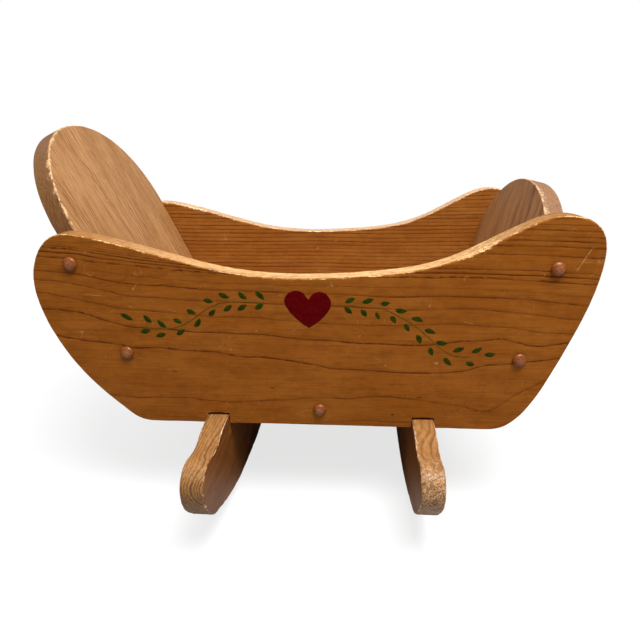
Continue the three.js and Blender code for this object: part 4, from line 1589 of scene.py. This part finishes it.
def heart():
    left = smooth_path(HEART[:HEART_POINT + 1], 0.6)
    right = smooth_path(HEART[HEART_POINT:] + [HEART[0]], 0.6)
    loop = anticlockwise(np.vstack([left[:-1], right[:-1]]))
    size = len(loop)
    inward = turn_left(tangents(loop))
    loop = loop + inward * (loop_noise(size, 46, 8) * 0.14)[:, None]
    verts = [(x, z, PAINT_BACK) for x, z in loop]
    rows = [(0.0, 0.0), (0.18, 0.16), (0.5, 0.24), (1.1, 0.28)]   # inset, height
    for inset, height in rows:
        ring = loop + inward * inset
        verts += [(x, z, face_depth(x, z) - height) for x, z in ring]
    faces = []
    for row in range(len(rows)):
        near, far = row * size, (row + 1) * size
        for i in range(size):
            j = (i + 1) % size
            faces.append([near + i, far + i, far + j, near + j])
    low, high = ring.min(0), ring.max(0)
    inner = np.array([(x + (0.75 if int(round((z - low[1]) / 1.3)) % 2 else 0), z)
                      for z in np.arange(low[1], high[1], 1.3)
                      for x in np.arange(low[0], high[0], 1.5)])
    inner = inner[inside(inner, ring)]
    tree = point_tree(ring)
    inner = [(x, z) for x, z in inner if tree.find((x, z, 0))[2] > 0.8]
    added, triangles = fill(ring, inner, len(rows) * size, len(verts))
    for x, z in added:
        brush = 0.05 * float(grid_noise(x / 1.6, z / 6.0, 5))
        verts.append((x, z, face_depth(x, z) - 0.28 - 0.04 - brush))
    _, back = fill(loop, [], 0, len(verts))
    return verts, faces + triangles + [triangle[::-1] for triangle in back]


leaf_rng = np.random.default_rng(7)
paint_piece("painted_stem_left", [stem(LEFT_STEM, 3)], STEM_OLIVE)
paint_piece("painted_stem_right", [stem(RIGHT_STEM, 4)], STEM_OLIVE)
paint_piece("painted_leaves_left", [leaf(*row, leaf_rng) for row in LEFT_LEAVES], LEAF_GREEN)
paint_piece("painted_leaves_right", [leaf(*row, leaf_rng) for row in RIGHT_LEAVES], LEAF_GREEN)
paint_piece("painted_heart", [heart()], HEART_RED)


# ---------------------------------------------------------------- floor, lights, world, camera
def floor_material():
    """Near white to the camera, fading to pure white; mid grey to the light it bounces."""
    mat, g = material("studio_floor")
    position = g.node("ShaderNodeTexCoord", {}, "Object")
    camera_ray = g.node("ShaderNodeLightPath", {}, "Is Camera Ray")
    cloud = g.step(g.noise(position, 2.0, scale=3.0), 0.3, 0.7)
    pale = g.mix(cloud, (0.90, 0.90, 0.90), (0.93, 0.93, 0.93))
    g.surface({"Base Color": g.mix(camera_ray, (0.42, 0.42, 0.42), pale),
               "Roughness": 0.75,
               "Specular IOR Level": 0.0})
    x, y, _ = g.separate(position)
    radius = g.math("SQRT", x * x + y * y)
    white = g.node("ShaderNodeEmission", {})
    lit = Value(g, g.tree.nodes["Principled BSDF"].outputs[0])
    near = g.node("ShaderNodeMixShader", {0: camera_ray * 0.75, 1: lit, 2: white})
    far_share = g.step(radius, 0.45, 1.1) * camera_ray
    mixed = g.node("ShaderNodeMixShader", {0: far_share, 1: near, 2: white})
    g.feed(g.tree.nodes["Material Output"], {"Surface": mixed})
    return mat


def floor():
    mesh = bpy.data.meshes.new("floor")
    bm = bmesh.new()
    bmesh.ops.create_grid(bm, x_segments=8, y_segments=8, size=14.0)
    bm.to_mesh(mesh)
    bm.free()
    ob = bpy.data.objects.new("floor", mesh)
    bpy.context.scene.collection.objects.link(ob)
    mesh.materials.append(floor_material())


def area_light(name, location, target, size, power):
    """A rectangular light; places and sizes in metres, power in watts."""
    light = bpy.data.lights.new(name, "AREA")
    light.shape = "RECTANGLE"
    light.size, light.size_y = size
    light.energy = power
    ob = bpy.data.objects.new(name, light)
    ob.location = location
    aim = Vector(target) - Vector(location)
    ob.rotation_euler = aim.to_track_quat("-Z", "Y").to_euler()
    bpy.context.scene.collection.objects.link(ob)


def studio_world():
    """White to the camera; as light, brighter from above and +x, dimmer from the front."""
    world = bpy.data.worlds.new("studio")
    bpy.context.scene.world = world
    world.use_nodes = True
    g = Graph(world.node_tree)
    x, y, z = g.separate(g.node("ShaderNodeTexCoord", {}, "Generated"))
    light = 0.10 + (g.step(z, 0.0, 0.9) * 0.62 + g.step(x, 0.0, 1.0) * 0.16)
    light = light * g.step(y * -1.0, 0.3, 1.0, 1.0, 0.45)
    camera_ray = g.node("ShaderNodeLightPath", {}, "Is Camera Ray")
    g.feed(world.node_tree.nodes["Background"],
           {"Color": (1, 1, 1), "Strength": light * (1.0 - camera_ray) + camera_ray * 1.0})


def add_camera(location, yaw, pitch, roll, lens, shift):
    """Camera looking along +y at yaw 0, turned to +x by yaw and down by pitch; angles in
    degrees, location in metres, lens in mm."""
    yaw, pitch, roll = math.radians(yaw), math.radians(pitch), math.radians(roll)
    forward = Vector((math.sin(yaw) * math.cos(pitch), math.cos(yaw) * math.cos(pitch),
                      -math.sin(pitch)))
    level = Vector((math.cos(yaw), -math.sin(yaw), 0))
    upright = level.cross(forward)
    right = level * math.cos(roll) + upright * math.sin(roll)
    up = -level * math.sin(roll) + upright * math.cos(roll)
    data = bpy.data.cameras.new("camera")
    data.sensor_width = 36.0
    data.lens = lens
    data.shift_x, data.shift_y = shift
    data.clip_start, data.clip_end = 0.02, 60.0
    camera = bpy.data.objects.new("camera", data)
    bpy.context.scene.collection.objects.link(camera)
    matrix = Matrix.Identity(4)
    for i in range(3):
        matrix[i] = (right[i], up[i], -forward[i], location[i])
    camera.matrix_world = matrix
    bpy.context.scene.camera = camera


floor()
area_light("key_soft", (0.34, -0.50, 1.50), target=(0, 0, 0.15), size=(0.75, 0.75), power=33.5)
area_light("top_soft", (0.0, 0.35, 1.7), target=(0, 0, 0.1), size=(1.6, 1.2), power=7)
studio_world()
view = bpy.context.scene.view_settings
view.view_transform = "Standard"
view.look = "None"
view.exposure = 0.0
view.gamma = 1.0
add_camera((0.04795, -0.5391, 0.3612), yaw=-3.07, pitch=20.58, roll=-0.16, lens=27.06,
           shift=(-0.0091, 0.0002))
